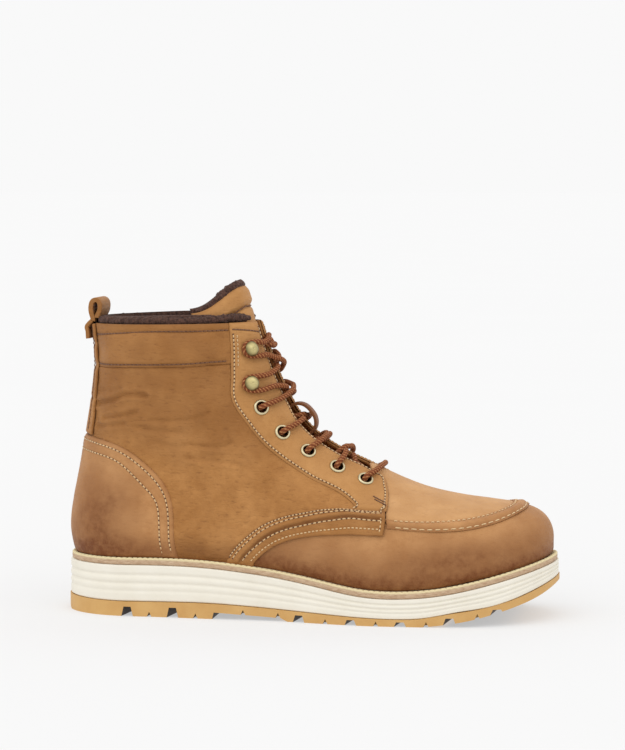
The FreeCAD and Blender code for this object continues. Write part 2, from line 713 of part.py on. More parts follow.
def notch(x, side):
    """A small vee cut into the tread's edge."""
    base = ground(x)
    points = [V(x - 3.0, side * 75, base - 3), V(x + 3.0, side * 75, base - 3), V(x, side * 75, base + 3)]
    face = Part.Face(Part.makePolygon(points + [points[0]]))
    depth = 75 - abs(outline_half_width(x, side)) + 7
    return face.extrude(V(0, -side * depth, 0))


def outline_half_width(x, side):
    """Sideways reach of the outsole at x, from its own curve."""
    u = side * 0.5
    step = side * 0.25
    for _ in range(12):
        u += step if surface(u, 0).x > x else -step
        step /= 2
    return surface(u, 0).y + side * OUTSOLE_PROUD


def outsole():
    top = [line_of(MIDSOLE_BOTTOM, PLATE_XS, -0.05)]
    body = blank(top, tread_profile()).common(column(outline(OUTSOLE_PROUD)))
    cutters = [groove(x) for x in GROOVES]
    for x in SMALL_NOTCHES:
        cutters += [notch(x, -1), notch(x, 1)]
    for cutter in cutters:
        body = body.cut(cutter)
    return body


def bottom_pieces():
    under_welt = -WELT_THICKNESS - 0.1
    welt = plate(WELT_PROUD, -0.6, -WELT_THICKNESS).cut(column(outline(-3.0)))
    shank_box = Part.makeBox(100, 14, 90, V(-95, Y_CENTRE - 7, 0))
    shank_slot = Part.makeBox(100.6, 14.6, 90, V(-95.3, Y_CENTRE - 7.3, 0))
    shank = plate(-3.3, -3.5, -4.7).common(shank_box)
    filler = plate(-3.3, -3.2, -4.9).cut(shank_slot)
    return {"outsole": outsole(),
            "midsole": plate(MIDSOLE_PROUD, under_welt, 0.05, FEATHER, MIDSOLE_BOTTOM),
            "welt": welt,
            "insole_board": plate(-3.3, -0.7, -3.0),
            "bottom_filler": filler,
            "shank": shank,
            "footbed": plate(-8.6, 6.6, 1.4)}


# ---------------------------------------------------------------- write the nodes
def main():
    os.makedirs("parts", exist_ok=True)
    parts = {}
    for make in (bottom_pieces, upper_panels, heel_pieces, collar_pieces, lining_pieces, tongue_pieces,
                 hardware, lace_parts):
        parts.update(make())
    parts["lace_keeper"] = lace_keeper()
    parts["pull_loop"] = pull_loop()
    for name in sorted(parts):
        shape = parts[name]
        shape.exportStep("parts/" + name + ".step")
        good = shape.isValid() and all(solid.Volume > 0 for solid in shape.Solids)
        state = "ok" if good else "BAD"
        print("%-22s solids %d volume %9.1f %s" % (name, len(shape.Solids), shape.Volume, state))


main()
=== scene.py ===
from math import cos, pi, radians, sin, tau

import bpy
import numpy as np
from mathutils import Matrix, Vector, kdtree, noise


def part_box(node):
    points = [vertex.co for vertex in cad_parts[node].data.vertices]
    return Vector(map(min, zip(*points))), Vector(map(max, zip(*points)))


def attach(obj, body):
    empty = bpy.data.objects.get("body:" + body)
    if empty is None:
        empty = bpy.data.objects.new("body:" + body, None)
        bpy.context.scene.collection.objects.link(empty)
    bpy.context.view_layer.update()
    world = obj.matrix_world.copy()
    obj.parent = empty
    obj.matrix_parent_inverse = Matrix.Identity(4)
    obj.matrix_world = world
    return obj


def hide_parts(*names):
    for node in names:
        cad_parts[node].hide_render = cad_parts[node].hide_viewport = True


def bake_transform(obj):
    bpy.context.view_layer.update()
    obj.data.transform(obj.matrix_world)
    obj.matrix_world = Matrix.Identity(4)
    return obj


# Lace-up moc-toe field boot. Lengths are in millimetres until a mesh is made, which is in metres.
# The leather, fleece and lining pieces are layers of one boot surface, the one the CAD part uses.
# A place on it is (u, v): u runs round the boot, 0 at the front centre and -1 and +1 at the back
# centre, negative on the lateral side; v runs from 0 at the featherline to 1 at the topline.
# A height is measured outwards from that surface.

MM = 0.001

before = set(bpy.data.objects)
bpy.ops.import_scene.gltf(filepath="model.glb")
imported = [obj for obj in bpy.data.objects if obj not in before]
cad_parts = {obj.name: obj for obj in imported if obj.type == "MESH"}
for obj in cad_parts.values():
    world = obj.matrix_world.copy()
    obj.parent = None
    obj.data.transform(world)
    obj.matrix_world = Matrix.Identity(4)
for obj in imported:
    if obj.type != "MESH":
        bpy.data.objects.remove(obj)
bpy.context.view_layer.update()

# ---------------------------------------------------------------- shared dimensions
LEATHER = 2.0
OVERLAY = (0.15, 1.80)
BASE = (-LEATHER, 0.0)
FLEECE = (-7.5, -4.0)
BOTTOM_V = -0.006            # the upper's lower edge, tucked behind the welt's bead
TOE_IN = 5.0
Y_CENTRE = -1.87
WELT_THICKNESS = 5.0
MIDSOLE_PROUD = 5.6
EYELET_HOLE_R = 3.0
EYELET_RIM_R = 5.0
BARREL_ROOM = 0.75           # from an eyelet's hole to the edge of the leather punched for it
LACE_D = 3.4

HEEL_TO_WAIST = (-110, 80)   # x where the outline starts to change, and over how many mm
WAIST_TO_BALL = (-30, 85)
TOE_IN_SPAN = (-10, 190)

# level v: front x, z; back x, z; half-width at heel, waist, ball; nose length, power; heel length; crown
SECTIONS = [
    (0.00, 148.0, 39.5, -148.0, 36.5, 33.5, 37.5, 50.0, 78, 2.6, 40, 0),
    (0.07, 150.4, 47.0, -151.6, 48.0, 36.0, 40.0, 52.5, 80, 2.7, 42, 0),
    (0.15, 148.8, 57.0, -151.2, 62.0, 36.0, 40.0, 52.0, 82, 2.6, 42, 0),
    (0.24, 139.0, 66.5, -148.7, 76.0, 35.0, 39.0, 49.0, 84, 2.5, 42, 2),
    (0.36, 110.0, 72.3, -145.5, 92.0, 34.0, 38.0, 46.0, 84, 2.3, 44, 8),
    (0.50, 70.0, 80.0, -142.8, 108.0, 34.5, 37.5, 43.0, 80, 2.2, 46, 13),
    (0.62, 36.0, 94.5, -140.2, 122.0, 35.5, 37.0, 40.0, 76, 2.1, 48, 13),
    (0.74, 3.0, 113.3, -137.9, 138.0, 36.0, 37.0, 38.0, 66, 2.0, 50, 10),
    (0.86, -19.5, 144.5, -136.4, 155.0, 36.5, 37.0, 37.0, 58, 2.0, 52, 4),
    (1.00, -33.0, 182.0, -138.0, 180.0, 37.0, 37.0, 37.0, 53, 2.0, 53, 0),
]


# ---------------------------------------------------------------- curves
def spline(points):
    """Natural cubic through (x, y) points, straight beyond its ends."""
    xs, ys = np.array(points, float).T
    gaps = np.diff(xs)
    slopes = np.diff(ys) / gaps
    count = len(xs)
    system = np.eye(count)
    right = np.zeros(count)
    for i in range(1, count - 1):
        system[i, i - 1:i + 2] = gaps[i - 1], 2 * (gaps[i - 1] + gaps[i]), gaps[i]
        right[i] = 6 * (slopes[i] - slopes[i - 1])
    bend = np.linalg.solve(system, right)
    start_slope = slopes[0] - gaps[0] * bend[1] / 6
    end_slope = slopes[-1] + gaps[-1] * bend[-2] / 6

    def value(x):
        x = np.asarray(x, float)
        i = np.clip(np.searchsorted(xs, x) - 1, 0, count - 2)
        a = (xs[i + 1] - x) / gaps[i]
        b = 1 - a
        curl = (a ** 3 - a) * bend[i] + (b ** 3 - b) * bend[i + 1]
        inside = a * ys[i] + b * ys[i + 1] + curl * gaps[i] ** 2 / 6
        below = ys[0] + start_slope * (x - xs[0])
        above = ys[-1] + end_slope * (x - xs[-1])
        return np.where(x < xs[0], below, np.where(x > xs[-1], above, inside))

    return value


def edge(points):
    """Smooth curve through (x, y) points that never overshoots them, level beyond its ends."""
    xs, ys = np.array(points, float).T
    slopes = np.diff(ys) / np.diff(xs)
    before = slopes[:-1]
    after = slopes[1:]
    same_way = before * after > 0
    total = np.where(same_way, before + after, 1.0)
    inner = np.where(same_way, 2 * before * after / total, 0.0)
    tangents = np.concatenate([slopes[:1], inner, slopes[-1:]])

    def value(x):
        x = np.clip(np.asarray(x, float), xs[0], xs[-1])
        i = np.clip(np.searchsorted(xs, x) - 1, 0, len(xs) - 2)
        h = xs[i + 1] - xs[i]
        q = (x - xs[i]) / h
        start = (1 + 2 * q) * (1 - q) ** 2 * ys[i] + q * (1 - q) ** 2 * h * tangents[i]
        end = q * q * (3 - 2 * q) * ys[i + 1] + q * q * (q - 1) * h * tangents[i + 1]
        return start + end

    return value


def smooth(q):
    q = np.clip(q, 0.0, 1.0)
    return q * q * (3 - 2 * q)


def ease(x, span):
    """0 up to the span's start, 1 past its length."""
    start, length = span
    return smooth((x - start) / length)


def mix(a, b, q):
    return a + (b - a) * q


def bump(distance, width):
    """1 at distance 0, falling to nothing over about the width."""
    return np.exp(-(distance / width) ** 2)


def unit(vectors):
    return vectors / np.maximum(np.linalg.norm(vectors, axis=-1, keepdims=True), 1e-9)


# ---------------------------------------------------------------- the boot surface
SECTION = [spline([(row[0], row[k]) for row in SECTIONS]) for k in range(1, len(SECTIONS[0]))]
FEATHER = spline([(-155, 36.8), (-120, 36.6), (-62, 36.2), (-30, 33.2), (10, 27.0), (35, 22.6),
                  (58, 21.4), (82, 23.2), (115, 30.0), (150, 39.6)])
MEDIAL = spline([(-150, 1.0), (-110, 1.0), (-30, 0.88), (55, 0.97), (120, 1.03), (150, 1.05)])


def rounding(q, power):
    """Half-width factor of a rounded end: 0 at its tip, 1 a nose length away."""
    return np.sqrt(1 - (1 - np.clip(q, 0.0, 1.0)) ** power)


def surface(u, v):
    """The points (x, y, z) of the boot surface at (u, v)."""
    u, v = np.broadcast_arrays(np.asarray(u, float), np.asarray(v, float))
    u = np.where(u > 1, u - 2, np.where(u < -1, u + 2, u))
    front_x, front_z, back_x, back_z, heel, waist, ball, nose, power, tail, crown = [s(v) for s in SECTION]
    ahead = (1 + np.cos(pi * u)) / 2
    x = mix(back_x, front_x, ahead)
    low = 1 - smooth(v / 0.6)
    lift_back = back_z - low * FEATHER(back_x)
    lift_front = front_z - low * FEATHER(front_x)
    tip = rounding((front_x - x) / nose, power)
    rear = mix(heel, waist, ease(x, HEEL_TO_WAIST))
    fore = mix(waist, ball, ease(x, WAIST_TO_BALL))
    width = np.where(x < WAIST_TO_BALL[0], rear, fore) * tip * rounding((x - back_x) / tail, 2.0)
    width = np.where(u > 0, width * mix(MEDIAL(x), 1.0, smooth(v)), width)
    z = low * FEATHER(x) + mix(lift_back, lift_front, ahead) - crown * tip ** 2 * smooth(ahead * 1.3)
    y = Y_CENTRE + TOE_IN * ease(x, TOE_IN_SPAN) + np.where(u > 0, width, -width)
    return np.stack([x, y, z], -1)


def frame_at(u, v):
    """Points, unit vectors round the boot (rising u), unit vectors up it, and outward normals."""
    step = 1e-3
    point = surface(u, v)
    around = unit(surface(u + step, v) - surface(u - step, v))
    rise = surface(u, v + step) - surface(u, v - step)
    normal = unit(np.cross(around, rise))
    return point, around, np.cross(normal, around), normal


def raised(u, v, out):
    point, _, _, normal = frame_at(u, v)
    return point + normal * np.asarray(out)[..., None]


# ---------------------------------------------------------------- panel edges on the surface
MOC_LINE = edge([(0, 0.280), (0.10, 0.264), (0.20, 0.252), (0.28, 0.262), (0.36, 0.286)])
VAMP_TOP = edge([(0, 0.280), (0.10, 0.264), (0.20, 0.252), (0.28, 0.262), (0.36, 0.286), (0.41, 0.283),
                 (0.475, 0.230), (0.525, 0.167), (0.568, 0.083), (0.590, 0.030)])
THROAT = edge([(0, 0.612), (0.06, 0.600), (0.09, 0.570), (0.15, 0.527), (0.23, 0.463), (0.30, 0.380),
               (0.335, 0.323), (0.36, 0.290)])
QUARTER_FRONT = edge([(0, 0.597), (0.03, 0.592), (0.083, 0.570), (0.167, 0.527), (0.230, 0.478),
                      (0.270, 0.435), (0.292, 0.390), (0.310, 0.350), (0.38, 0.303), (0.46, 0.234),
                      (0.53, 0.152), (0.57, 0.100), (0.61, 0.095), (0.65, 0.103), (0.71, 0.102),
                      (0.77, 0.098), (0.82, 0.078), (0.90, 0.066), (1.0, 0.062)])
FACING_REAR = edge([(0.40, 0.365), (0.457, 0.312), (0.537, 0.287), (0.60, 0.305), (0.683, 0.312),
                    (0.767, 0.320), (0.82, 0.333), (0.88, 0.300), (0.94, 0.268), (1.0, 0.245)])
COLLAR_LINE = edge([(0.24, 0.906), (0.31, 0.904), (0.36, 0.902), (0.48, 0.892), (0.62, 0.877),
                    (0.84, 0.852), (1.0, 0.846)])
BAND_TOP = edge([(0.285, 0.402), (0.355, 0.400), (0.427, 0.333), (0.477, 0.270), (0.515, 0.223),
                 (0.547, 0.173), (0.578, 0.097), (0.600, 0.020), (0.604, -0.006)])
BAND_LOW = edge([(0.378, 0.212), (0.42, 0.203), (0.463, 0.177), (0.502, 0.143), (0.527, 0.110),
                 (0.562, 0.020), (0.566, -0.006)])
LINING_FRONT = edge([(0, 0.375), (0.30, 0.375), (0.42, 0.370), (0.55, 0.345), (0.70, 0.345),
                     (0.82, 0.355), (0.92, 0.325), (1.03, 0.300)])
LINING_TOP = 1.02
COUNTER_EDGE = 0.675
COUNTER_TOP = 0.52
BACK_STRIP = 0.88
FACING_LOW = 0.398
COLLAR_LAP = 0.012           # v that the quarter runs on under the collar
MOC_STRIP_LOW = edge([(0, -0.016), (0.08, -0.015), (0.135, -0.019), (0.19, -0.026), (0.25, -0.035),
                      (0.36, -0.038)])
MOC_STRIP_TOP = edge([(0, 0.024), (0.12, 0.027), (0.28, 0.031), (0.36, 0.034)])
MOC_STRIP_END = (0.366, 0.342)
BAND_FRONT_BOW = 0.011

EYELETS = [(0.177, 0.567), (0.195, 0.623), (0.207, 0.687), (0.223, 0.747), (0.240, 0.807)]
HOOKS = [(0.245, 0.857), (0.195, 0.933)]
SIDES = {"lateral": -1, "medial": 1}


# A place(a, b) function lays a and b, each from 0 to 1, over a piece: it gives (u, v), or for a piece
# of one side (t, v) with t = |u|, which on_side() turns into (u, v).
def vamp_place(a, b):
    u = mix(-0.588, 0.588, a)
    return u, mix(BOTTOM_V, VAMP_TOP(abs(u)) - 0.001, b)


def apron_place(a, b):
    u = mix(-0.352, 0.352, a)
    return u, mix(MOC_LINE(abs(u)) + 0.001, THROAT(abs(u)) + 0.006, b)


def moc_strip_place(a, b):
    end = mix(MOC_STRIP_END[0], MOC_STRIP_END[1], b)
    u = mix(-end, end, a)
    return u, MOC_LINE(abs(u)) + mix(MOC_STRIP_LOW(abs(u)), MOC_STRIP_TOP(abs(u)), b)


def quarter_place(a, b):
    row = mix(BOTTOM_V, 0.9, b)
    t = mix(QUARTER_FRONT(row) + 0.002, 0.998, a)
    return t, mix(BOTTOM_V, COLLAR_LINE(t) + COLLAR_LAP, b)


def facing_place(a, b):
    v = mix(FACING_LOW, 0.998, b)
    return mix(QUARTER_FRONT(v) + 0.001, FACING_REAR(v), a), v


def facing_backer_place(a, b):
    v = mix(0.908, 0.998, b)
    return mix(QUARTER_FRONT(v) + 0.004, 0.236, a), v


def band_place(a, b):
    top = mix(0.290, 0.604, a)
    low = mix(0.379, 0.566, a)
    bow = BAND_FRONT_BOW * 4 * b * (1 - b) * (1 - a) ** 3
    return mix(low, top, b) + bow, mix(BAND_LOW(low), BAND_TOP(top), b)


def counter_place(a, b):
    s = mix(-1, 1, a)
    reach = 0.997 * (1 - (1 - abs(s)) ** 2.2)
    height = COUNTER_TOP * (1 - reach ** 10) ** 0.45
    return 1 - (1 - COUNTER_EDGE) * np.sign(s) * reach, mix(BOTTOM_V, height, b)


def back_strip_place(a, b):
    return mix(BACK_STRIP, 2 - BACK_STRIP, a), mix(COUNTER_TOP + 0.008, 0.997, b)


def collar_place(a, b):
    t = mix(0.243, 0.998, a)
    return t, mix(COLLAR_LINE(t) - 0.001, 0.998, b)


def shaft_lining_place(a, b):
    v = mix(BOTTOM_V, LINING_TOP, b)
    return mix(LINING_FRONT(v), 2 - LINING_FRONT(v), a), v


def vamp_lining_place(a, b):
    u = mix(-0.362, 0.362, a)
    return u, mix(BOTTOM_V, THROAT(abs(u)) - 0.012, b)


TONGUE_SPAN = edge([(0, 0.15), (0.25, 0.20), (0.45, 0.27), (0.75, 0.33), (1.0, 0.39)])


def tongue_top(u):
    """v of the tongue's rounded top edge."""
    return 1.085 - 0.062 * smooth((abs(u) - 0.06) / 0.34)


def tongue_place(a, b, over=0.0):
    """The tongue's area, reaching over its top edge by a v."""
    u = mix(-1, 1, a) * TONGUE_SPAN(b)
    return u, mix(THROAT(abs(u)) + 0.022, tongue_top(u) + over, b)


def tongue_lining_place(a, b):
    return tongue_place(a, b, 0.012)


def on_side(side, place):
    """The place function of a piece on one side of the boot, from that of its t = |u|."""
    def sided(a, b):
        t, v = place(a, b)
        return side * t, v

    return sided


# ---------------------------------------------------------------- heights of the layers
COLLAR_SWELL = 2.2
COLLAR_PAD_TOP = 0.975       # v
TONGUE_FACE = -6.8
TONGUE_SIDES = -8.7
TONGUE_SWELL = 3.8           # at its padded top


def collar_bulge(t, v):
    """How far the padded collar stands out over its foam."""
    line = COLLAR_LINE(t)
    across = np.clip((v - line) / (COLLAR_PAD_TOP - line), 0.0, 1.0)
    ends = smooth((0.875 - t) / 0.12) * smooth((t - 0.30) / 0.08)
    return COLLAR_SWELL * ends * np.sqrt(4 * across * (1 - across))


def tongue_depth(t, v):
    """Height of the tongue's outer face, below the boot surface."""
    swell = TONGUE_SWELL * smooth((v - 0.955) / 0.05) * (1 - smooth((t - 0.10) / 0.10))
    return mix(TONGUE_FACE, TONGUE_SIDES, smooth((t - 0.19) / 0.09)) + swell


# ---------------------------------------------------------------- lines on the surface
def line_through(places, count=200):
    """(u, v) along a smooth curve through a few places."""
    index = np.arange(len(places))
    where = np.linspace(0, len(places) - 1, count)
    us = spline([(i, p[0]) for i, p in zip(index, places)])(where)
    vs = spline([(i, p[1]) for i, p in zip(index, places)])(where)
    return us, vs


def inset(line, distance):
    """The line moved sideways over the surface: positive to the left of its run, seen from outside."""
    u, v = line
    point, _, _, normal = frame_at(u, v)
    along = unit(np.gradient(point, axis=0))
    left = np.cross(normal, along) * distance
    step = 1e-3
    by_u = (surface(u + step, v) - surface(u - step, v)) / (2 * step)
    by_v = (surface(u, v + step) - surface(u, v - step)) / (2 * step)
    uu, uv, vv = (by_u * by_u).sum(-1), (by_u * by_v).sum(-1), (by_v * by_v).sum(-1)
    to_u, to_v = (by_u * left).sum(-1), (by_v * left).sum(-1)
    det = uu * vv - uv * uv
    return u + (to_u * vv - to_v * uv) / det, v + (to_v * uu - to_u * uv) / det


def distance_to(points, line):
    """Distance of each point to a polyline, both in mm."""
    tree = kdtree.KDTree(len(line))
    for i, corner in enumerate(line):
        tree.insert(corner, i)
    tree.balance()
    flat = points.reshape(-1, 3)
    nearest = np.array([tree.find(p)[1] for p in flat])
    best = np.full(len(flat), 1e9)
    for shift in (-1, 0):
        start = line[np.clip(nearest + shift, 0, len(line) - 2)]
        way = line[np.clip(nearest + shift, 0, len(line) - 2) + 1] - start
        q = np.clip(((flat - start) * way).sum(-1) / np.maximum((way * way).sum(-1), 1e-9), 0, 1)
        best = np.minimum(best, np.linalg.norm(flat - start - way * q[:, None], axis=-1))
    return best.reshape(points.shape[:-1])


def noise_at(points, size):
    """Smooth noise, about -1 to 1, with lumps of the given size in mm."""
    flat = points.reshape(-1, 3) / size
    return np.array([noise.noise(Vector(p)) for p in flat]).reshape(points.shape[:-1])


# ---------------------------------------------------------------- meshes
def make_object(name, points, faces, material, attributes=None):
    """A closed smooth mesh from points in mm, its normals outwards. CAD nodes have the plain names."""
    name += "_look"
    mesh = bpy.data.meshes.new(name)
    mesh.from_pydata((np.asarray(points) * MM).tolist(), [], faces)
    mesh.calc_loop_triangles()
    corners = np.array([mesh.vertices[i].co for t in mesh.loop_triangles for i in t.vertices])
    first, second, third = np.moveaxis(corners.reshape(-1, 3, 3), 1, 0)
    volume = np.einsum("ij,ij->i", first, np.cross(second, third)).sum()
    if volume < 0:
        mesh.flip_normals()
    for key, values in (attributes or {}).items():
        mesh.attributes.new(key, "FLOAT", "POINT").data.foreach_set("value", np.asarray(values, np.float32))
    mesh.materials.append(material)
    mesh.shade_smooth()
    obj = bpy.data.objects.new(name, mesh)
    bpy.context.scene.collection.objects.link(obj)
    return obj


EDGE_STEPS = np.array([0.0, 0.12, 0.3, 0.6, 1.0, 1.6])  # mm from a panel's edge to its first rows
HOLE_SNAP = 0.75         # mm: points this near a hole's edge are moved onto it
RIM_FADE = 1.6           # mm over which the darker cut edge fades


def stations(place, axis, other, step):
    """Parameters along one axis of a panel: crowded at both edges, then a step apart, in mm."""
    samples = np.linspace(0, 1, 500)
    fixed = np.full_like(samples, other)
    u, v = place(samples, fixed) if axis == 0 else place(fixed, samples)
    lengths = np.linalg.norm(np.diff(surface(u, v), axis=0), axis=1)
    run = np.concatenate([[0], np.cumsum(lengths)])
    margin = EDGE_STEPS[-1]
    count = max(2, round((run[-1] - 2 * margin) / step))
    middle = np.linspace(margin, run[-1] - margin, count + 1)
    wanted = np.concatenate([EDGE_STEPS[:-1], middle, run[-1] - EDGE_STEPS[-2::-1]])
    return np.interp(wanted, run, samples)


def border_of(grid):
    """The points round the rim of a grid of points, as a closed line."""
    return np.concatenate([grid[:, 0], grid[-1, 1:], grid[-2::-1, -1], grid[0, -2::-1]])


def shell(outer, inner, keep):
    """Points and faces of a closed layer between two grids, only where keep says so for a cell."""
    columns, rows = outer.shape[:2]
    count = columns * rows
    index = np.arange(count).reshape(columns, rows)
    i, j = np.nonzero(keep)
    a, b, c, d = index[i, j], index[i + 1, j], index[i + 1, j + 1], index[i, j + 1]
    faces = np.stack([a, b, c, d], 1).tolist()
    faces += (np.stack([d, c, b, a], 1) + count).tolist()
    padded = np.pad(keep, 1)
    for di, dj, first, second in ((0, -1, a, b), (1, 0, b, c), (0, 1, c, d), (-1, 0, d, a)):
        open_side = ~padded[i + 1 + di, j + 1 + dj]
        p, q = first[open_side], second[open_side]
        faces += np.stack([p, p + count, q + count, q], 1).tolist()
    points = np.concatenate([outer.reshape(-1, 3), inner.reshape(-1, 3)])
    used = np.unique(np.array(faces).ravel())
    renumber = np.full(len(points), -1)
    renumber[used] = np.arange(len(used))
    return points[used], renumber[np.array(faces)].tolist(), used % count


def panel(name, place, layer, material, step, other=(0.5, 0.5), relief=None, shade=None, holes=(),
          round_by=0.75):
    """A leather piece with rounded edges. relief(u, v, point, rim) adds height and shade(...) gives burnish
    and painted shade;
    rim is the distance to the piece's own edge; holes are (centre, axis, radius)."""
    a, b = np.meshgrid(stations(place, 0, other[1], step), stations(place, 1, other[0], step), indexing="ij")
    u, v = place(a, b)
    point, _, _, normal = frame_at(u, v)
    rim = distance_to(point, border_of(point))
    inside = np.clip(round_by - rim, 0, round_by)
    drop = round_by - np.sqrt(round_by ** 2 - inside ** 2)
    low, high = (part(abs(u), v) if callable(part) else part for part in layer)
    lift = relief(u, v, point, rim) if relief else 0.0
    outer = point + normal * (high + lift - drop)[..., None]
    inner = point + normal * (low + np.zeros_like(u) + np.minimum(drop, 0.3))[..., None]
    keep = np.ones((len(a) - 1, a.shape[1] - 1), bool)
    centre = (point[1:, 1:] + point[:-1, 1:] + point[1:, :-1] + point[:-1, :-1]) / 4
    for hole, axis, radius in holes:
        keep &= np.linalg.norm(centre - hole, axis=-1) > radius
        for grid in (outer, inner):
            offset = grid - hole
            flat = offset - (offset @ axis)[..., None] * axis
            reach = np.linalg.norm(flat, axis=-1)
            near = (reach < radius + HOLE_SNAP) & (reach > 1e-6)
            grid[near] += flat[near] * ((radius + 0.1) / reach[near] - 1)[:, None]
    points, faces, used = shell(outer, inner, keep)
    # the piece's shade function gives rubbed wear and painted shade alike
    burnish_and_shade = shade(u, v, point, rim) if shade else np.zeros_like(u)
    attributes = {"rim": np.exp(-rim / RIM_FADE).ravel()[used], "burnish_and_shade": burnish_and_shade.ravel()[used]}
    return make_object(name, points, faces, material, attributes)


def ring_quads(rings, sides, closed=False):
    """Faces between rings of points that follow each other; closed joins the last ring to the first."""
    k, s = np.meshgrid(np.arange(rings if closed else rings - 1), np.arange(sides), indexing="ij")
    after, t = (k + 1) % rings, (s + 1) % sides
    quads = [k * sides + s, k * sides + t, after * sides + t, after * sides + s]
    return np.stack(quads, -1).reshape(-1, 4).tolist()


def end_caps(rings, sides):
    """Faces that close the first and the last ring."""
    return [list(range(sides))[::-1], [(rings - 1) * sides + s for s in range(sides)]]


def copies(faces, count, points_each):
    """The faces of one item, repeated for as many items."""
    return [[i + n * points_each for i in face] for n in range(count) for face in faces]


def lathe(profile, centre, axis, side_way, segments):
    """Points and faces of a ring turned about an axis from a closed profile of (radius, height)."""
    axis = unit(axis)
    first = unit(side_way - axis * (side_way @ axis))
    second = np.cross(axis, first)
    angle = np.arange(segments) * tau / segments
    ring = np.cos(angle)[:, None] * first + np.sin(angle)[:, None] * second
    radius, height = np.array(profile, float).T
    points = centre + radius[:, None, None] * ring[None] + height[:, None, None] * axis
    return points.reshape(-1, 3), ring_quads(len(profile), segments, closed=True)


def rounded(corners, radius, steps):
    """A closed profile with each corner rounded, in a few steps."""
    corners = np.array(corners, float)
    points = []
    for before, corner, after in zip(np.roll(corners, 1, 0), corners, np.roll(corners, -1, 0)):
        back = before - corner
        ahead = after - corner
        reach = min(radius, 0.45 * np.linalg.norm(back), 0.45 * np.linalg.norm(ahead))
        enter = corner + unit(back) * reach
        leave = corner + unit(ahead) * reach
        for q in np.linspace(0, 1, steps):
            points.append((1 - q) ** 2 * enter + 2 * q * (1 - q) * corner + q * q * leave)
    return np.array(points)


def joined(parts):
    """Several (points, faces) as one."""
    points = []
    faces = []
    start = 0
    for part_points, part_faces in parts:
        points.append(part_points)
        faces += [[i + start for i in face] for face in part_faces]
        start += len(part_points)
    return np.concatenate(points), faces


def sweep(line, side, normal, profile):
    """Points and faces of a closed profile of (sideways, outwards) points carried along a line."""
    count, ring = len(line), profile.shape[-2]
    shape = np.broadcast_to(profile, (count, ring, 2))
    points = line[:, None] + side[:, None] * shape[..., :1] + normal[:, None] * shape[..., 1:]
    return points.reshape(-1, 3), ring_quads(count, ring) + end_caps(count, ring)


# ---------------------------------------------------------------- stitches
STITCH_X = np.array([-0.5, -0.43, -0.22, 0.0, 0.22, 0.43, 0.5])
STITCH_GIRTH = np.array([0.45, 0.85, 1.0, 1.0, 1.0, 0.85, 0.45])
STITCH_DIP = np.array([-1.0, -0.35, 0.0, 0.1, 0.0, -0.35, -1.0])
STITCH_SIDES = 8


def stitch_row(line, height, pitch, length, thick, shift=0.0):
    """Points and faces of one row of stitches over a line of (u, v) places, moved along it by a shift."""
    u, v = line
    point, _, _, normal = frame_at(u, v)
    path = point + normal * (height(u, v) if callable(height) else np.full(len(u), height))[:, None]
    run = np.concatenate([[0], np.cumsum(np.linalg.norm(np.diff(path, axis=0), axis=1))])
    count = max(1, int((run[-1] - length) / pitch))
    where = length / 2 + (run[-1] - length - count * pitch) / 2 + shift + pitch * np.arange(count + 1)

    def sampled(values, at):
        return np.stack([np.interp(at, run, values[:, k]) for k in range(3)], -1)

    centre = sampled(path, where)
    along = unit(sampled(path, where + 0.3) - sampled(path, where - 0.3))
    out = unit(sampled(normal, where))
    side = unit(np.cross(out, along))
    angle = np.arange(STITCH_SIDES) * tau / STITCH_SIDES
    half = thick / 2
    points = (centre[:, None, None]
              + along[:, None, None] * (STITCH_X * length)[None, :, None, None]
              + side[:, None, None] * (STITCH_GIRTH[:, None] * np.cos(angle) * half)[None, ..., None]
              + out[:, None, None] * (STITCH_GIRTH[:, None] * np.sin(angle) * half * 0.8
                                      + STITCH_DIP[:, None] * half)[None, ..., None])
    rings = len(STITCH_X)
    stitch = end_caps(rings, STITCH_SIDES) + ring_quads(rings, STITCH_SIDES)
    return points.reshape(-1, 3), copies(stitch, len(centre), rings * STITCH_SIDES)


# ---------------------------------------------------------------- materials
def shader(name, roughness, **sockets):
    """A new material: its node tree, its principled shader, and object coordinates."""
    material = bpy.data.materials.new(name)
    material.use_nodes = True
    tree = material.node_tree
    principled = tree.nodes["Principled BSDF"]
    principled.inputs["Roughness"].default_value = roughness
    for key, value in sockets.items():
        principled.inputs[key.replace("_", " ")].default_value = value
    coordinates = tree.nodes.new("ShaderNodeTexCoord")
    return material, tree, principled, coordinates.outputs["Object"]


def linear(colour):
    """Linear RGBA from an sRGB colour of three whole numbers."""
    values = np.array(colour) / 255
    values = np.where(values <= 0.04045, values / 12.92, ((values + 0.055) / 1.055) ** 2.4)
    return (*values.tolist(), 1.0)


def noise_node(tree, vector, size, detail=3.0, rough=0.55, stretch=None):
    """Noise with features of the given size in mm, stretched along an axis if asked."""
    if stretch:
        mapping = tree.nodes.new("ShaderNodeMapping")
        mapping.inputs["Scale"].default_value = stretch
        tree.links.new(vector, mapping.inputs["Vector"])
        vector = mapping.outputs["Vector"]
    node = tree.nodes.new("ShaderNodeTexNoise")
    node.inputs["Scale"].default_value = 1 / (size * MM)
    node.inputs["Detail"].default_value = detail
    node.inputs["Roughness"].default_value = rough
    tree.links.new(vector, node.inputs["Vector"])
    return node.outputs["Fac"]


def cells_node(tree, vector, size):
    """Distance from the middle of small cells of the given size in mm."""
    node = tree.nodes.new("ShaderNodeTexVoronoi")
    node.inputs["Scale"].default_value = 1 / (size * MM)
    tree.links.new(vector, node.inputs["Vector"])
    return node.outputs["Distance"]


def attribute_node(tree, name):
    """The value that make_object() stored on the mesh by this name."""
    node = tree.nodes.new("ShaderNodeAttribute")
    node.attribute_name = name
    return node.outputs["Fac"]


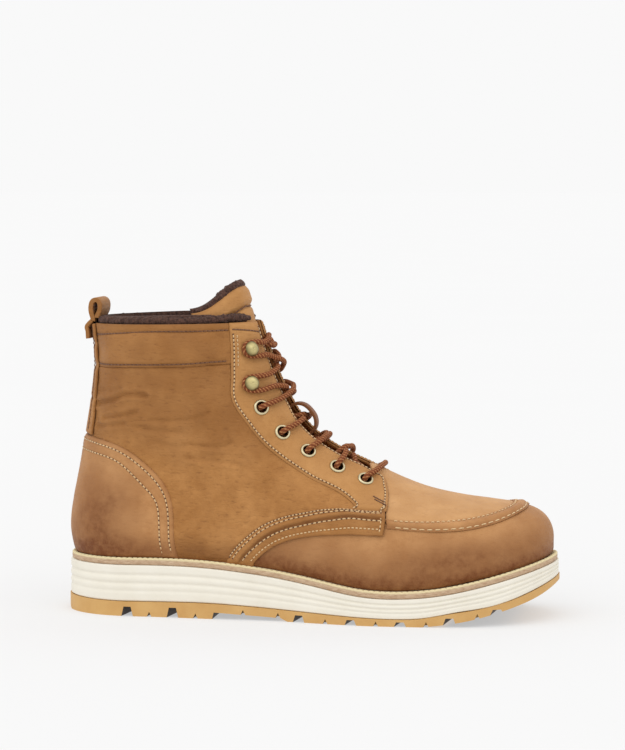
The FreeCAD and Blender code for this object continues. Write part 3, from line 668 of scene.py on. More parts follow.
def ramp(tree, value, low, high, to_low=0.0, to_high=1.0):
    """The value mapped from low..high to to_low..to_high, and held there beyond them."""
    node = tree.nodes.new("ShaderNodeMapRange")
    for key, number in (("From Min", low), ("From Max", high), ("To Min", to_low), ("To Max", to_high)):
        node.inputs[key].default_value = number
    tree.links.new(value, node.inputs["Value"])
    return node.outputs["Result"]


def colour_mix(tree, factor, first, second):
    """Colours are sRGB triples or sockets."""
    node = tree.nodes.new("ShaderNodeMix")
    node.data_type = "RGBA"
    tree.links.new(factor, node.inputs["Factor"])
    for key, colour in (("A", first), ("B", second)):
        socket = [s for s in node.inputs if s.name == key and s.type == "RGBA"][0]
        if isinstance(colour, tuple):
            socket.default_value = linear(colour)
        else:
            tree.links.new(colour, socket)
    return [s for s in node.outputs if s.type == "RGBA"][0]


def math_node(tree, operation, first, second):
    """The result of a maths operation, by its Blender name, on two numbers or sockets."""
    node = tree.nodes.new("ShaderNodeMath")
    node.operation = operation
    for socket, value in zip(node.inputs, (first, second)):
        if isinstance(value, (int, float)):
            socket.default_value = value
        else:
            tree.links.new(value, socket)
    return node.outputs["Value"]


def set_bump(tree, principled, layers):
    """Bumps on top of each other from (height socket, depth in mm) pairs."""
    normal = None
    for height, depth in layers:
        node = tree.nodes.new("ShaderNodeBump")
        node.inputs["Distance"].default_value = depth * MM
        tree.links.new(height, node.inputs["Height"])
        if normal:
            tree.links.new(normal, node.inputs["Normal"])
        normal = node.outputs["Normal"]
    tree.links.new(normal, principled.inputs["Normal"])


def leather(name, colour, dark, burnished_and_shaded, crinkle):
    """Oiled nubuck: soft mottling, fine grain, dark rubbed places and painted shade where the mesh's
    attribute says, darker cut edges, and crinkles as deep as the last number says, in mm, with painted shade
    in their hollows."""
    rough = 0.62
    material, tree, principled, where = shader(name, rough, Specular_IOR_Level=0.26, Sheen_Weight=0.04,
                                               Sheen_Roughness=0.5)
    broad = noise_node(tree, where, 26, 3)
    cloud = noise_node(tree, where, 5, 4, 0.65)
    broad_share = math_node(tree, "MULTIPLY", broad, 0.6)
    mottled = math_node(tree, "ADD", broad_share, math_node(tree, "MULTIPLY", cloud, 0.4))
    base = colour_mix(tree, ramp(tree, mottled, 0.36, 0.66), dark, colour)
    fine = noise_node(tree, where, 0.9, 3, 0.7)
    base = colour_mix(tree, ramp(tree, fine, 0.56, 0.80, 0, 0.22), base, dark)
    patches = ramp(tree, cloud, 0.25, 0.7, 0.65, 1.25)
    # the attribute holds rubbed wear and painted shade alike
    rubbed_and_shaded = math_node(tree, "MULTIPLY", attribute_node(tree, "burnish_and_shade"), patches)
    base = colour_mix(tree, rubbed_and_shaded, base, burnished_and_shaded)
    base = colour_mix(tree, ramp(tree, attribute_node(tree, "rim"), 0.35, 1.0, 0, 0.30), base, burnished_and_shaded)
    tree.links.new(ramp(tree, cloud, 0.3, 0.7, rough - 0.07, rough + 0.09), principled.inputs["Roughness"])
    grain = cells_node(tree, where, 0.55)
    wrinkle = noise_node(tree, where, 3.4, 5, 0.62, (0.7, 0.7, 2.0))
    # painted shade in the crinkles' hollows
    crease_shade = ramp(tree, wrinkle, 0.28, 0.44, crinkle * 0.5, 0.0)
    tree.links.new(colour_mix(tree, crease_shade, base, burnished_and_shaded), principled.inputs["Base Color"])
    set_bump(tree, principled, [(wrinkle, crinkle), (grain, 0.07), (fine, 0.10)])
    return material


def fleece_material():
    """Dark brown wool pile, curly and quite matt."""
    material, tree, principled, where = shader("fleece", 0.95, Specular_IOR_Level=0.1, Sheen_Weight=0.08,
                                               Sheen_Roughness=0.6)
    curls = noise_node(tree, where, 1.6, 4, 0.7)
    base = colour_mix(tree, ramp(tree, curls, 0.33, 0.68), (46, 30, 26), (104, 74, 62))
    tree.links.new(base, principled.inputs["Base Color"])
    set_bump(tree, principled, [(curls, 0.9), (noise_node(tree, where, 0.35, 2), 0.25)])
    return material


def thread_material(name, colour, dark):
    """Waxed thread, its twist as fine slanting lines."""
    material, tree, principled, where = shader(name, 0.6, Sheen_Weight=0.2)
    lumps = noise_node(tree, where, 0.5, 3)
    base = colour_mix(tree, ramp(tree, lumps, 0.3, 0.7), dark, colour)
    tree.links.new(base, principled.inputs["Base Color"])
    set_bump(tree, principled, [(noise_node(tree, where, 0.25, 2, 0.5, (1.0, 1.0, 2.5)), 0.08)])
    return material


def lace_material():
    """Round braided cord in two shades, by an attribute of its mesh that also holds painted shade in the dips
    between strands.
    """
    material, tree, principled, where = shader("lace_cord", 0.75, Specular_IOR_Level=0.2, Sheen_Weight=0.03)
    base = colour_mix(tree, attribute_node(tree, "yarn_tone_and_shade"), (126, 64, 32), (200, 140, 88))
    fibre = noise_node(tree, where, 0.3, 3)
    base = colour_mix(tree, ramp(tree, fibre, 0.35, 0.75, 0, 0.5), base, (70, 34, 18))
    tree.links.new(base, principled.inputs["Base Color"])
    set_bump(tree, principled, [(fibre, 0.10)])
    return material


def brass_material(name, bright, dark):
    """Antique brass with tarnish, darkened where its mesh's attribute says: painted shade under a rim and
    round a dome's edge.
    """
    material, tree, principled, where = shader(name, 0.34, Metallic=1.0)
    tarnish = noise_node(tree, where, 2.6, 4, 0.6)
    base = colour_mix(tree, ramp(tree, tarnish, 0.42, 0.75, 0, 0.5), bright, dark)
    base = colour_mix(tree, attribute_node(tree, "dim"), base, (70, 54, 28))
    tree.links.new(base, principled.inputs["Base Color"])
    tree.links.new(ramp(tree, tarnish, 0.3, 0.7, 0.26, 0.44), principled.inputs["Roughness"])
    set_bump(tree, principled, [(noise_node(tree, where, 0.5, 3), 0.03)])
    return material


def rubber_material(name, colour, dark, rough, groove_shade=None):
    """Moulded rubber or foam, faintly cloudy; a dark colour given last is painted shade on walls that face
    along the boot, as in a tread.
    """
    material, tree, principled, where = shader(name, rough, Specular_IOR_Level=0.35)
    cloud = noise_node(tree, where, 16, 3)
    base = colour_mix(tree, ramp(tree, cloud, 0.3, 0.75), dark, colour)
    if groove_shade:
        # painted shade on the tread's groove walls and roots
        base = colour_mix(tree, tread_walls(tree, where), base, groove_shade)
    tree.links.new(base, principled.inputs["Base Color"])
    tree.links.new(ramp(tree, cloud, 0.3, 0.7, rough - 0.05, rough + 0.06), principled.inputs["Roughness"])
    set_bump(tree, principled, [(noise_node(tree, where, 0.5, 3), 0.03)])
    return material


def tread_walls(tree, where):
    """1 on the roots and walls of the tread's grooves, where painted shade goes, 0 on its outer sides."""
    normal = tree.nodes.new("ShaderNodeSeparateXYZ")
    geometry = tree.nodes.new("ShaderNodeTexCoord")
    tree.links.new(geometry.outputs["Normal"], normal.inputs["Vector"])
    place = tree.nodes.new("ShaderNodeSeparateXYZ")
    tree.links.new(where, place.inputs["Vector"])
    facing = ramp(tree, math_node(tree, "ABSOLUTE", normal.outputs["X"], 0.0), 0.70, 0.80)
    down = ramp(tree, normal.outputs["Z"], -0.55, -0.75)
    raised_root = ramp(tree, place.outputs["Z"], 0.0016, 0.0022)
    middle = ramp(tree, math_node(tree, "ABSOLUTE", place.outputs["X"], 0.0), 0.132, 0.124)
    walls = math_node(tree, "MAXIMUM", facing, math_node(tree, "MULTIPLY", down, raised_root))
    return math_node(tree, "MULTIPLY", walls, middle)


def welt_material():
    """Raw leather strip: pinkish beige cut side with fine layered lines; its top edge is lighter, painted
    light on the face that looks up.
    """
    material, tree, principled, where = shader("welt_leather", 0.68, Specular_IOR_Level=0.3)
    streaks = noise_node(tree, where, 1.8, 5, 0.7, (0.5, 0.5, 2.4))
    side = colour_mix(tree, ramp(tree, streaks, 0.32, 0.7), (168, 134, 104), (208, 182, 152))
    base = colour_mix(tree, attribute_node(tree, "top"), side, (226, 210, 166))
    tree.links.new(base, principled.inputs["Base Color"])
    set_bump(tree, principled, [(streaks, 0.15), (noise_node(tree, where, 0.4, 3), 0.06)])
    return material


def plain_material(name, colour, dark, rough, size, depth, metallic=0.0):
    """Hidden or inner pieces: board, cork, steel, foam and fabric by their grain size."""
    material, tree, principled, where = shader(name, rough, Metallic=metallic)
    grain = noise_node(tree, where, size, 5, 0.7)
    base = colour_mix(tree, ramp(tree, grain, 0.32, 0.68), dark, colour)
    tree.links.new(base, principled.inputs["Base Color"])
    set_bump(tree, principled, [(grain, depth), (cells_node(tree, where, size * 0.6), depth * 0.6)])
    return material


TAN = leather("tan_leather", (187, 133, 76), (160, 107, 52), (108, 62, 22), 0.9)
FACING_TAN = leather("facing_leather", (197, 145, 88), (176, 124, 68), (126, 78, 36), 0.5)
VAMP = leather("vamp_leather", (198, 147, 96), (171, 119, 70), (114, 64, 28), 0.35)
APRON = leather("apron_leather", (211, 163, 111), (194, 144, 91), (144, 92, 50), 0.4)
KEEPER = leather("keeper_leather", (146, 90, 46), (116, 68, 34), (80, 44, 22), 0.3)
FLEECE_PILE = fleece_material()
CREAM_THREAD = thread_material("cream_thread", (228, 198, 150), (194, 154, 106))
BROWN_THREAD = thread_material("brown_thread", (128, 82, 46), (98, 60, 32))
# painted shade for the needle holes between stitches
NEEDLE_HOLE_SHADE = thread_material("needle_hole_shade", (104, 62, 30), (74, 42, 20))
LACE_CORD = lace_material()
BRASS = brass_material("antique_brass", (204, 190, 136), (150, 132, 80))
PALE_BRASS = brass_material("pale_brass", (212, 200, 164), (170, 152, 108))
# the last colour is painted shade in the tread's grooves
GUM = rubber_material("gum_rubber", (210, 168, 105), (198, 152, 89), 0.52, (58, 40, 22))
MIDSOLE_FOAM = rubber_material("midsole_foam", (235, 230, 217), (229, 223, 208), 0.6)
WELT = welt_material()
TIP_PLASTIC = plain_material("tip_plastic", (120, 66, 44), (96, 50, 34), 0.3, 0.8, 0.03)
FOOTBED_FABRIC = plain_material("footbed_fabric", (120, 98, 78), (92, 72, 56), 0.95, 0.7, 0.25)
BOARD = plain_material("fibreboard", (176, 150, 112), (150, 124, 88), 0.9, 1.5, 0.08)
CORK = plain_material("cork", (184, 146, 98), (140, 100, 62), 0.9, 2.4, 0.2)
STEEL = plain_material("steel", (170, 172, 176), (140, 142, 148), 0.35, 1.2, 0.02, 1.0)


# ---------------------------------------------------------------- rows of stitches, by piece
def counter_edge_line(side):
    """The counter's edge from the back centre down to the welt on one side."""
    a = np.linspace(0.5, 1.0, 260) if side > 0 else np.linspace(0.5, 0.0, 260)
    u, v = counter_place(a, np.ones_like(a))
    low_v = np.linspace(v[-1], 0.03, 30)[1:]
    return np.concatenate([u, np.full(29, u[-1])]), np.concatenate([v, low_v])


def edge_line(side, function, low, high, count=220):
    """The line u = side * function(v) from v low to v high."""
    v = np.linspace(low, high, count)
    return side * function(v), v


BAND_FRONT = ((0.290, 0.402), (0.379, 0.212))  # (t, v) at the top and foot of the band's front edge


def front_edge(v):
    """t of the facing's front edge and, below it, the side band's."""
    (top_t, top_v), (low_t, low_v) = BAND_FRONT
    q = np.clip((v - low_v) / (top_v - low_v), 0, 1)
    return np.where(v > top_v, QUARTER_FRONT(v), mix(low_t, top_t, q) + BAND_FRONT_BOW * 4 * q * (1 - q))


def band_line(side, share):
    """A line along the side band at a share of its width from its top edge, 0 to 1."""
    a = np.linspace(0.03, 0.985, 220)
    t, v = band_place(a, np.full_like(a, 1 - share))
    return side * t, v


BACK_STRIP_ROW = BACK_STRIP + 0.035
BAND_ROWS = (0.05, 0.19, 0.56, 0.84)   # shares of the band's width
BAND_RIDGE = 0.37
BAND_SHADOW = 0.48
BAND_WIDTH = 16.0                      # mm from its top edge to its lower edge
BAND_TAPER = 1.25                      # how far its top edge lies below its full height
BAND_BLEND = 4.5                       # mm over which it rises
TACKS = ([(0.236, 0.500), (0.247, 0.455)], [(0.249, 0.482), (0.261, 0.438)])
FACING_TOP_ROW = [(0.085, 0.972), (0.160, 0.978), (0.238, 0.982)]
COLLAR_TOP_ROW = [(0.250, 0.982), (0.448, 0.980), (0.60, 0.977), (0.86, 0.963), (0.985, 0.961)]
CREASES = [  # (t, v) places along a crease, and its depth in mm
    ([(0.870, 0.690), (0.843, 0.697), (0.772, 0.730), (0.710, 0.770), (0.627, 0.790)], 1.5),
    ([(0.823, 0.630), (0.752, 0.667), (0.682, 0.713)], 1.25),
    ([(0.860, 0.577), (0.738, 0.640)], 1.1),
    ([(0.573, 0.633), (0.472, 0.680), (0.410, 0.717)], 0.85),
    ([(0.593, 0.557), (0.460, 0.617)], 0.85),
    ([(0.640, 0.700), (0.530, 0.745), (0.430, 0.790)], 0.7),
    ([(0.700, 0.640), (0.630, 0.660), (0.560, 0.690)], 0.7),
    ([(0.560, 0.600), (0.500, 0.622), (0.420, 0.660)], 0.45),
    ([(0.660, 0.590), (0.600, 0.602), (0.540, 0.630)], 0.4),
    ([(0.860, 0.745), (0.790, 0.762), (0.730, 0.785)], 0.5),
]


def line_points(line):
    return surface(*line)


def side_rows(side):
    """The stitch rows of one side: name -> (u, v) line, set in from the edges by mm."""
    rows = {}
    counter = counter_edge_line(side)
    rows["counter_outer"] = inset(counter, 3.0 * side)
    rows["counter_inner"] = inset(counter, 9.2 * side)
    rows["facing_front"] = inset(edge_line(side, front_edge, 0.222, 0.985, 400), -2.5 * side)
    for k, places in enumerate(TACKS):
        rows["tack_%d" % k] = line_through([(side * t, v) for t, v in places], 30)
    rows["facing_top"] = line_through([(side * t, v) for t, v in FACING_TOP_ROW])
    rows["facing_rear"] = inset(edge_line(side, FACING_REAR, 0.425, 0.972), 1.7 * side)
    rows["facing_rear_double"] = inset(edge_line(side, FACING_REAR, 0.895, 0.972), 4.2 * side)
    t = np.linspace(0.30, 0.985, 260)
    rows["collar_low"] = inset((side * t, COLLAR_LINE(t)), 1.7 * side)
    rows["collar_top"] = line_through([(side * t, v) for t, v in COLLAR_TOP_ROW])
    for k, share in enumerate(BAND_ROWS):
        rows["band_%d" % k] = band_line(side, share)
    rows["back_strip"] = edge_line(side, lambda v: np.full_like(v, BACK_STRIP_ROW), 0.545, 0.985)
    return rows


ROWS = {name: side_rows(side) for name, side in SIDES.items()}


def moc_row(b):
    """The seam strip's row at a share b of the way from its lower to its upper edge."""
    return moc_strip_place(np.linspace(0.012, 0.988, 500), np.full(500, b))


def sewn(point, lines, loose, depth=0.4, width=0.75):
    """Loose relief that rows of stitches hold down, each in its own shallow channel."""
    near = np.full(point.shape[:-1], 1e9)
    for line in lines:
        near = np.minimum(near, distance_to(point, line_points(line)))
    return loose * (1 - bump(near, 3.0)) + 0.12 * bump(near - 1.9, 1.0) - depth * bump(near, width)


def skived(rim):
    """How far an overlay thins down to its edge."""
    return -1.1 * (1 - smooth(rim / 2.6))


def footing(point, v):
    """Fullness just above the welt, most at the toe, so that no gap shows over it."""
    return (0.7 + 0.9 * smooth((point[..., 0] - 90) / 50)) * bump(v - 0.012, 0.035)


# ---------------------------------------------------------------- leather pieces
def wear_and_shade(u, v, point, rim):
    """Where the leather is darker: rubbed round the heel, painted shade just above the welt, and darker up
    the shaft.
    """
    x, _, z = np.moveaxis(point, -1, 0)
    heel = 0.72 * bump(np.hypot(x + 128, 0.8 * (z - 60)), 22)
    # painted shade along the lower wall above the welt
    welt = 0.62 * bump(v - 0.02, 0.055)
    shaft = 0.34 * smooth((z - 84) / 36)
    return np.clip(heel + welt + shaft + 0.14 * noise_at(point, 14) + 0.08 * noise_at(point, 5), 0, 1)


def vamp_shade_and_wear(u, v, point, rim):
    """Where the vamp is darker: painted shade down its lower wall and above the welt, a darker patch near the
    toe, and even wear with blotches.
    """
    # painted shade: the lower wall darker towards the welt
    wall = 0.34 * (1 - smooth((v - 0.09) / 0.11)) + 0.42 * bump(v - 0.02, 0.05)
    patch = 0.30 * bump(v - 0.13, 0.06) * bump(point[..., 0] - 100, 32)
    return np.clip(0.10 + wall + patch + 0.16 * noise_at(point, 16), 0, 1)


def even_wear(level):
    """The same wear all over, with soft blotches."""
    return lambda u, v, point, rim: np.clip(level + 0.16 * noise_at(point, 12), 0, 1)


light_wear = even_wear(0.10)
collar_wear = even_wear(0.34)


def eyelet_holes(side):
    """The (centre, axis, radius) of each hole punched for an eyelet's barrel."""
    holes = []
    for t, v in EYELETS:
        point, _, _, normal = frame_at(side * t, v)
        holes.append((point, normal, EYELET_HOLE_R + BARREL_ROOM))
    return holes


VAMP_FOLDS = (34, 42, 51)   # x of the soft folds across the vamp, in mm


def vamp():
    """The toe wall and its wings, one piece round the toe."""
    def relief(u, v, point, rim):
        fullness = 0.35 * noise_at(point, 30) + 0.12 * noise_at(point, 9)
        waver = 3 * noise_at(point, 12)
        folds = sum(bump(point[..., 0] - x - waver, 1.6) for x in VAMP_FOLDS)
        return fullness - 0.28 * folds * smooth((v - 0.06) / 0.1) + footing(point, v)

    piece = panel("vamp", vamp_place, BASE, VAMP, 1.2, relief=relief, shade=vamp_shade_and_wear)
    return finished(piece, "boot", "vamp_leather", "vamp")


def apron():
    """The plug on top of the toe, drawn down along its seam."""
    def relief(u, v, point, rim):
        seam = -0.5 * bump(rim, 2.2)
        return seam + 0.3 * noise_at(point, 26) + 0.08 * noise_at(point, 7)

    piece = panel("apron", apron_place, BASE, APRON, 1.1, relief=relief, shade=light_wear)
    return finished(piece, "boot", "apron_leather", "apron")


MOC_ROWS = (0.86, 0.16)   # shares of the strip's width at its upper and lower stitch rows


def moc_strip():
    """The rolled seam between the vamp and the apron, gathered between its two stitch rows."""
    def across(u, v):
        low = MOC_LINE(abs(u)) + MOC_STRIP_LOW(abs(u))
        return (v - low) / (MOC_STRIP_TOP(abs(u)) - MOC_STRIP_LOW(abs(u)))

    def relief(u, v, point, rim):
        gather = 0.16 * noise_at(point * np.array([1.0, 1.0, 0.4]), 3.2)
        roll = 0.85 * bump(across(u, v) - 0.50, 0.20) - 0.55
        return roll + sewn(point, [moc_row(share) for share in MOC_ROWS], gather, 0.4, 0.6)

    def shade(u, v, point, rim):
        return np.clip(0.30 * bump(across(u, v) - 0.16, 0.12) + 0.12 + 0.15 * noise_at(point, 12), 0, 1)

    piece = panel("moc_seam_strip", moc_strip_place, OVERLAY, VAMP, 0.9, relief=relief, shade=shade)
    return finished(piece, "boot", "vamp_leather", "moc_seam_strip")


def quarter(name, side):
    """One side of the shaft, creased where the ankle bends and thinned under the collar."""
    def relief(u, v, point, rim):
        height = 0.45 * noise_at(point, 34) + footing(point, v)
        height += 0.16 * noise_at(point * np.array([0.5, 1.0, 1.8]), 7)
        for places, depth in CREASES:
            line = line_points(line_through([(side * t, w) for t, w in places], 80))
            near = distance_to(point, line)
            height += -depth * bump(near, 1.3) + 0.45 * depth * bump(near - 3.0, 1.6)
        under_collar = -1.3 * smooth((v - COLLAR_LINE(abs(u)) + 0.006) / 0.010)
        return height + under_collar

    piece = panel("quarter_" + name, on_side(side, quarter_place), BASE, TAN, 1.15, relief=relief, shade=wear_and_shade,
                  holes=eyelet_holes(side))
    return finished(piece, "boot", "tan_leather", "quarter_" + name)


def facing(name, side):
    """The eyelet strip of one side."""
    rows = ROWS[name]
    lines = [rows[key] for key in ("facing_front", "facing_rear", "facing_rear_double", "facing_top")]

    def relief(u, v, point, rim):
        blend_in = -0.55 * bump((v - FACING_LOW) * 110, 2.4)
        return sewn(point, lines, 0.14 * noise_at(point, 14)) + blend_in + skived(rim)

    piece = panel("facing_" + name, on_side(side, facing_place), OVERLAY, FACING_TAN, 0.9, relief=relief,
                  shade=light_wear, holes=eyelet_holes(side))
    return finished(piece, "boot", "tan_leather", "facing_" + name)


def facing_backer(name, side):
    """The leather behind the facing's top, which the hooks are set in."""
    piece = panel("facing_backer_" + name, on_side(side, facing_backer_place), BASE, FACING_TAN, 1.2,
                  shade=light_wear)
    return finished(piece, "boot", "tan_leather", "facing_backer_" + name)


def side_band(name, side):
    """The curved strip from the facing down to the welt, with a ridge between its stitch rows."""
    rows = [ROWS[name]["band_%d" % k] for k in range(len(BAND_ROWS))]
    ridge = line_points(band_line(side, BAND_RIDGE))
    shadow = line_points(band_line(side, BAND_SHADOW))
    top_edge = line_points(band_line(side, 0.0))

    def relief(u, v, point, rim):
        from_top = distance_to(point, top_edge)
        height = -BAND_TAPER * (1 - smooth(from_top / BAND_BLEND))
        height += 1.15 * bump(distance_to(point, ridge), 1.5) - 0.5 * bump(distance_to(point, shadow), 0.8)
        return height + sewn(point, rows, 0.1 * noise_at(point, 10), 0.36, 0.6)

    def shade(u, v, point, rim):
        # painted shadow along the line below the ridge
        crease = 0.55 * bump(distance_to(point, shadow), 1.0)
        return np.clip(crease + 0.22 + 0.15 * noise_at(point, 10), 0, 1)

    piece = panel("side_band_" + name, on_side(side, band_place), OVERLAY, TAN, 0.8, relief=relief,
                  shade=shade)
    return finished(piece, "boot", "tan_leather", "side_band_" + name)


def heel_counter():
    """The outside pocket round the heel."""
    lines = [ROWS[name][key] for name in SIDES for key in ("counter_outer", "counter_inner")]

    def relief(u, v, point, rim):
        loose = 0.35 * noise_at(point, 26) + 0.1 * noise_at(point, 8)
        return sewn(point, lines, loose) + footing(point, v) + skived(rim)

    piece = panel("heel_counter", counter_place, OVERLAY, VAMP, 1.1, other=(0.5, 1.0), relief=relief,
                  shade=wear_and_shade)
    return finished(piece, "boot", "vamp_leather", "heel_counter")


def back_strip():
    """The strip over the heel seam, with the dents that its bending leaves."""
    lines = [ROWS[name]["back_strip"] for name in SIDES]

    def relief(u, v, point, rim):
        dents = -1.25 * bump((v - 0.853) * 200, 3.2) - 0.9 * bump((v - 0.932) * 200, 2.2)
        crease = -0.5 * bump((v - 0.705) * 200, 1.6)
        return sewn(point, lines, 0.3 * noise_at(point, 16)) + dents + crease

    piece = panel("back_strip", back_strip_place, OVERLAY, TAN, 0.9, relief=relief, shade=light_wear)
    return finished(piece, "boot", "tan_leather", "back_strip")


def collar(name, side):
    """The padded leather round the top of one side; it stands for its foam too."""
    lines = [ROWS[name]["collar_top"], ROWS[name]["collar_low"]]

    def relief(u, v, point, rim):
        soft = (0.4 * noise_at(point, 22) + 0.12 * noise_at(point, 6)) * smooth(rim / 6)
        return sewn(point, lines, soft, 0.6, 1.0)

    layer = (lambda t, v: np.full_like(t, -LEATHER), collar_bulge)
    piece = panel("collar_" + name, on_side(side, collar_place), layer, TAN, 1.0, relief=relief,
                  shade=collar_wear, round_by=0.95)
    return finished(piece, "boot", "tan_leather", "collar_" + name, "collar_foam_" + name)


# ---------------------------------------------------------------- tongue
TONGUE_ROW_DROP = 0.048   # v of the tongue's stitch row below its top edge
TONGUE_BEND = ((0.050, 0.0, 0.083), (0.022, 0.0, 0.106))  # the start and end of a bend, in metres; no bend is made with them


def tongue():
    """The padded tongue, rolled above its stitch row."""
    def relief(u, v, point, rim):
        above_row = v - tongue_top(u) + TONGUE_ROW_DROP
        roll = 1.4 * smooth(above_row / 0.015) * smooth(rim / 4)
        seam = -1.2 * bump(above_row * 250, 1.3)
        quilt = 0.5 * noise_at(point, 20) * smooth(rim / 8)
        return roll + seam + quilt

    layer = (lambda t, v: tongue_depth(t, v) - 1.8, tongue_depth)
    piece = panel("tongue", tongue_place, layer, FACING_TAN, 1.1, relief=relief, shade=light_wear,
                  round_by=0.85)
    return finished(piece, "tongue", "tan_leather", "tongue")


def tongue_root():
    """The end of the tongue that is sewn under the apron's edge."""
    def place(a, b):
        u = mix(-0.17, 0.17, a)
        return u, THROAT(abs(u)) + mix(-0.012, 0.034, b)

    def outer(t, v):
        return mix(-2.3, tongue_depth(t, v) - 0.3, smooth((v - THROAT(t) + 0.010) / 0.030))

    layer = (lambda t, v: outer(t, v) - 1.3, outer)
    piece = panel("tongue_root", place, layer, FACING_TAN, 1.1, shade=light_wear, round_by=0.6)
    return finished(piece, "boot", "tan_leather")


def finished(piece, body, slot, *nodes):
    """The piece moves with its body and stands for its CAD nodes; a piece on the tongue only has its
    transform baked in. The slot argument is not used."""
    if body == "tongue":
        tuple(TONGUE_BEND[0])
        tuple(TONGUE_BEND[1])
        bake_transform(piece)
    else:
        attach(piece, body)
    if nodes:
        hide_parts(*nodes)
    return piece


# ---------------------------------------------------------------- fleece
TUFT_LEVELS = ((-0.35, 0.70, 0.0), (0.30, 0.72, 0.0), (0.75, 0.55, 0.3), (1.0, 0.22, 0.6))  # up, girth, curl
TUFT_SIDES = 3


def tufts(place, depth, count, seed, low):
    """Small closed locks of wool on a fleece layer's inner face, at places (a, b) with b from low up."""
    random = np.random.default_rng(seed)
    a = random.uniform(0.0, 1.0, count)
    b = random.uniform(low, 0.97, count)
    u, v = place(a, b)
    point, _, _, normal = frame_at(u, v)
    base = point + normal * depth(abs(u), v)[:, None]
    way = unit(random.normal(0, 0.75, (count, 3)) - normal)
    side = unit(np.cross(way, random.normal(0, 1, (count, 3))))
    other = np.cross(way, side)
    length = random.uniform(0.7, 1.3, count)[:, None]
    curl = side * random.uniform(0.3, 0.8, count)[:, None]
    rings = []
    for up, girth, bend in TUFT_LEVELS:
        centre = base + way * length * up + curl * length * bend
        for angle in np.arange(TUFT_SIDES) * tau / TUFT_SIDES:
            rings.append(centre + (side * cos(angle) + other * sin(angle)) * girth)
    points = np.stack(rings, 1)
    levels = len(TUFT_LEVELS)
    tuft = end_caps(levels, TUFT_SIDES) + ring_quads(levels, TUFT_SIDES)
    return points.reshape(-1, 3), copies(tuft, count, levels * TUFT_SIDES)


def lumps(u, v, point, rim):
    """Woolly unevenness of a fleece face."""
    return 0.75 * noise_at(point, 3.2) + 0.45 * noise_at(point, 1.7)


def shaft_lining():
    """The fleece inside the shaft and the loose locks of wool on it."""
    piece = panel("shaft_lining", shaft_lining_place, FLEECE, FLEECE_PILE, 1.6, relief=lumps, round_by=1.6)
    finished(piece, "boot", "fleece", "shaft_lining")

    count = 9000
    inner = tufts(shaft_lining_place, lambda t, v: np.full_like(t, FLEECE[0] + 0.2), count, 4, 0.55)
    pile = make_object("shaft_pile", *inner, FLEECE_PILE)
    return finished(pile, "boot", "fleece")


PILE_SIDES = 20


def pile_roll(name, line, girth):
    """A woolly roll along a line of points, of a girth at each."""
    along = unit(np.gradient(line, axis=0))
    across = unit(np.cross(along, (0.0, 0.0, 1.0)))
    angle = np.arange(PILE_SIDES) * tau / PILE_SIDES
    ring = np.stack([np.cos(angle), np.sin(angle)], -1)
    points, faces = sweep(line, across, np.cross(across, along), ring[None] * girth[:, None, None])
    outward = unit(points - np.repeat(line, PILE_SIDES, axis=0))
    curls = 0.75 * noise_at(points, 2.6) + 0.45 * noise_at(points, 1.3)
    return make_object(name, points + outward * curls[:, None], faces, FLEECE_PILE)


def topline_pile():
    """The fleece's rolled edge round the top of the shaft, tapering forward along the facings."""
    u = np.concatenate([np.linspace(0.072, 1.0, 800), np.linspace(-1.0, -0.072, 800)[1:]])
    t = abs(u)
    girth = mix(1.5, 2.6, smooth((t - 0.06) / 0.10)) * (1 - 0.45 * smooth((t - 0.90) / 0.06))
    line = raised(u, np.full_like(t, 1.0), np.full_like(t, -4.4))
    line[:, 2] += girth * 0.45 + 1.9 * (1 - smooth((t - 0.20) / 0.18))
    return finished(pile_roll("topline_pile", line, girth), "boot", "fleece")


def tongue_edge_pile():
    """The fleece's rolled edge over the tongue's top."""
    a = np.linspace(0.03, 0.97, 500)
    u, v = tongue_place(a, np.ones_like(a))
    line = raised(u, v, tongue_depth(abs(u), v) - 3.2)
    line[:, 2] += 1.0
    girth = mix(1.2, 2.9, smooth((0.98 - abs(2 * a - 1)) / 0.5))
    return finished(pile_roll("tongue_edge_pile", line, girth), "tongue", "fleece")


def vamp_lining():
    """The fleece inside the forefoot."""
    piece = panel("vamp_lining", vamp_lining_place, FLEECE, FLEECE_PILE, 2.0, relief=lumps, round_by=1.4)
    return finished(piece, "boot", "fleece", "vamp_lining")


def tongue_lining():
    """The fleece on the tongue's inner face and the loose locks of wool on it."""
    layer = (lambda t, v: tongue_depth(t, v) - 5.4, lambda t, v: tongue_depth(t, v) - 3.0)
    piece = panel("tongue_lining", tongue_lining_place, layer, FLEECE_PILE, 1.5, relief=lumps, round_by=1.5)
    finished(piece, "tongue", "fleece", "tongue_lining")

    count = 3600
    inner = tufts(tongue_lining_place, lambda t, v: tongue_depth(t, v) - 5.2, count, 7, 0.45)
    pile = make_object("tongue_pile", *inner, FLEECE_PILE)
    return finished(pile, "tongue", "fleece")


# ---------------------------------------------------------------- hardware
PIN_R = 0.02          # radius of the pinhole on the axis of a turned solid, too small to see
FITTING_SIDES = 48


def fittings(name, side, places, profile, material, dim):
    """One lathe-turned fitting at each (t, v) place on a side, with painted shade from a function of (radius,
    height).
    """
    parts = []
    for t, v in places:
        point, around, _, normal = frame_at(side * t, v)
        parts.append(lathe(profile, point, normal, around, FITTING_SIDES))
    radius, height = np.array(profile).T
    shade = np.tile(np.repeat(dim(radius, height), FITTING_SIDES), len(places))
    piece = make_object(name, *joined(parts), material, {"dim": shade})
    return finished(piece, "boot", "antique_brass", name)


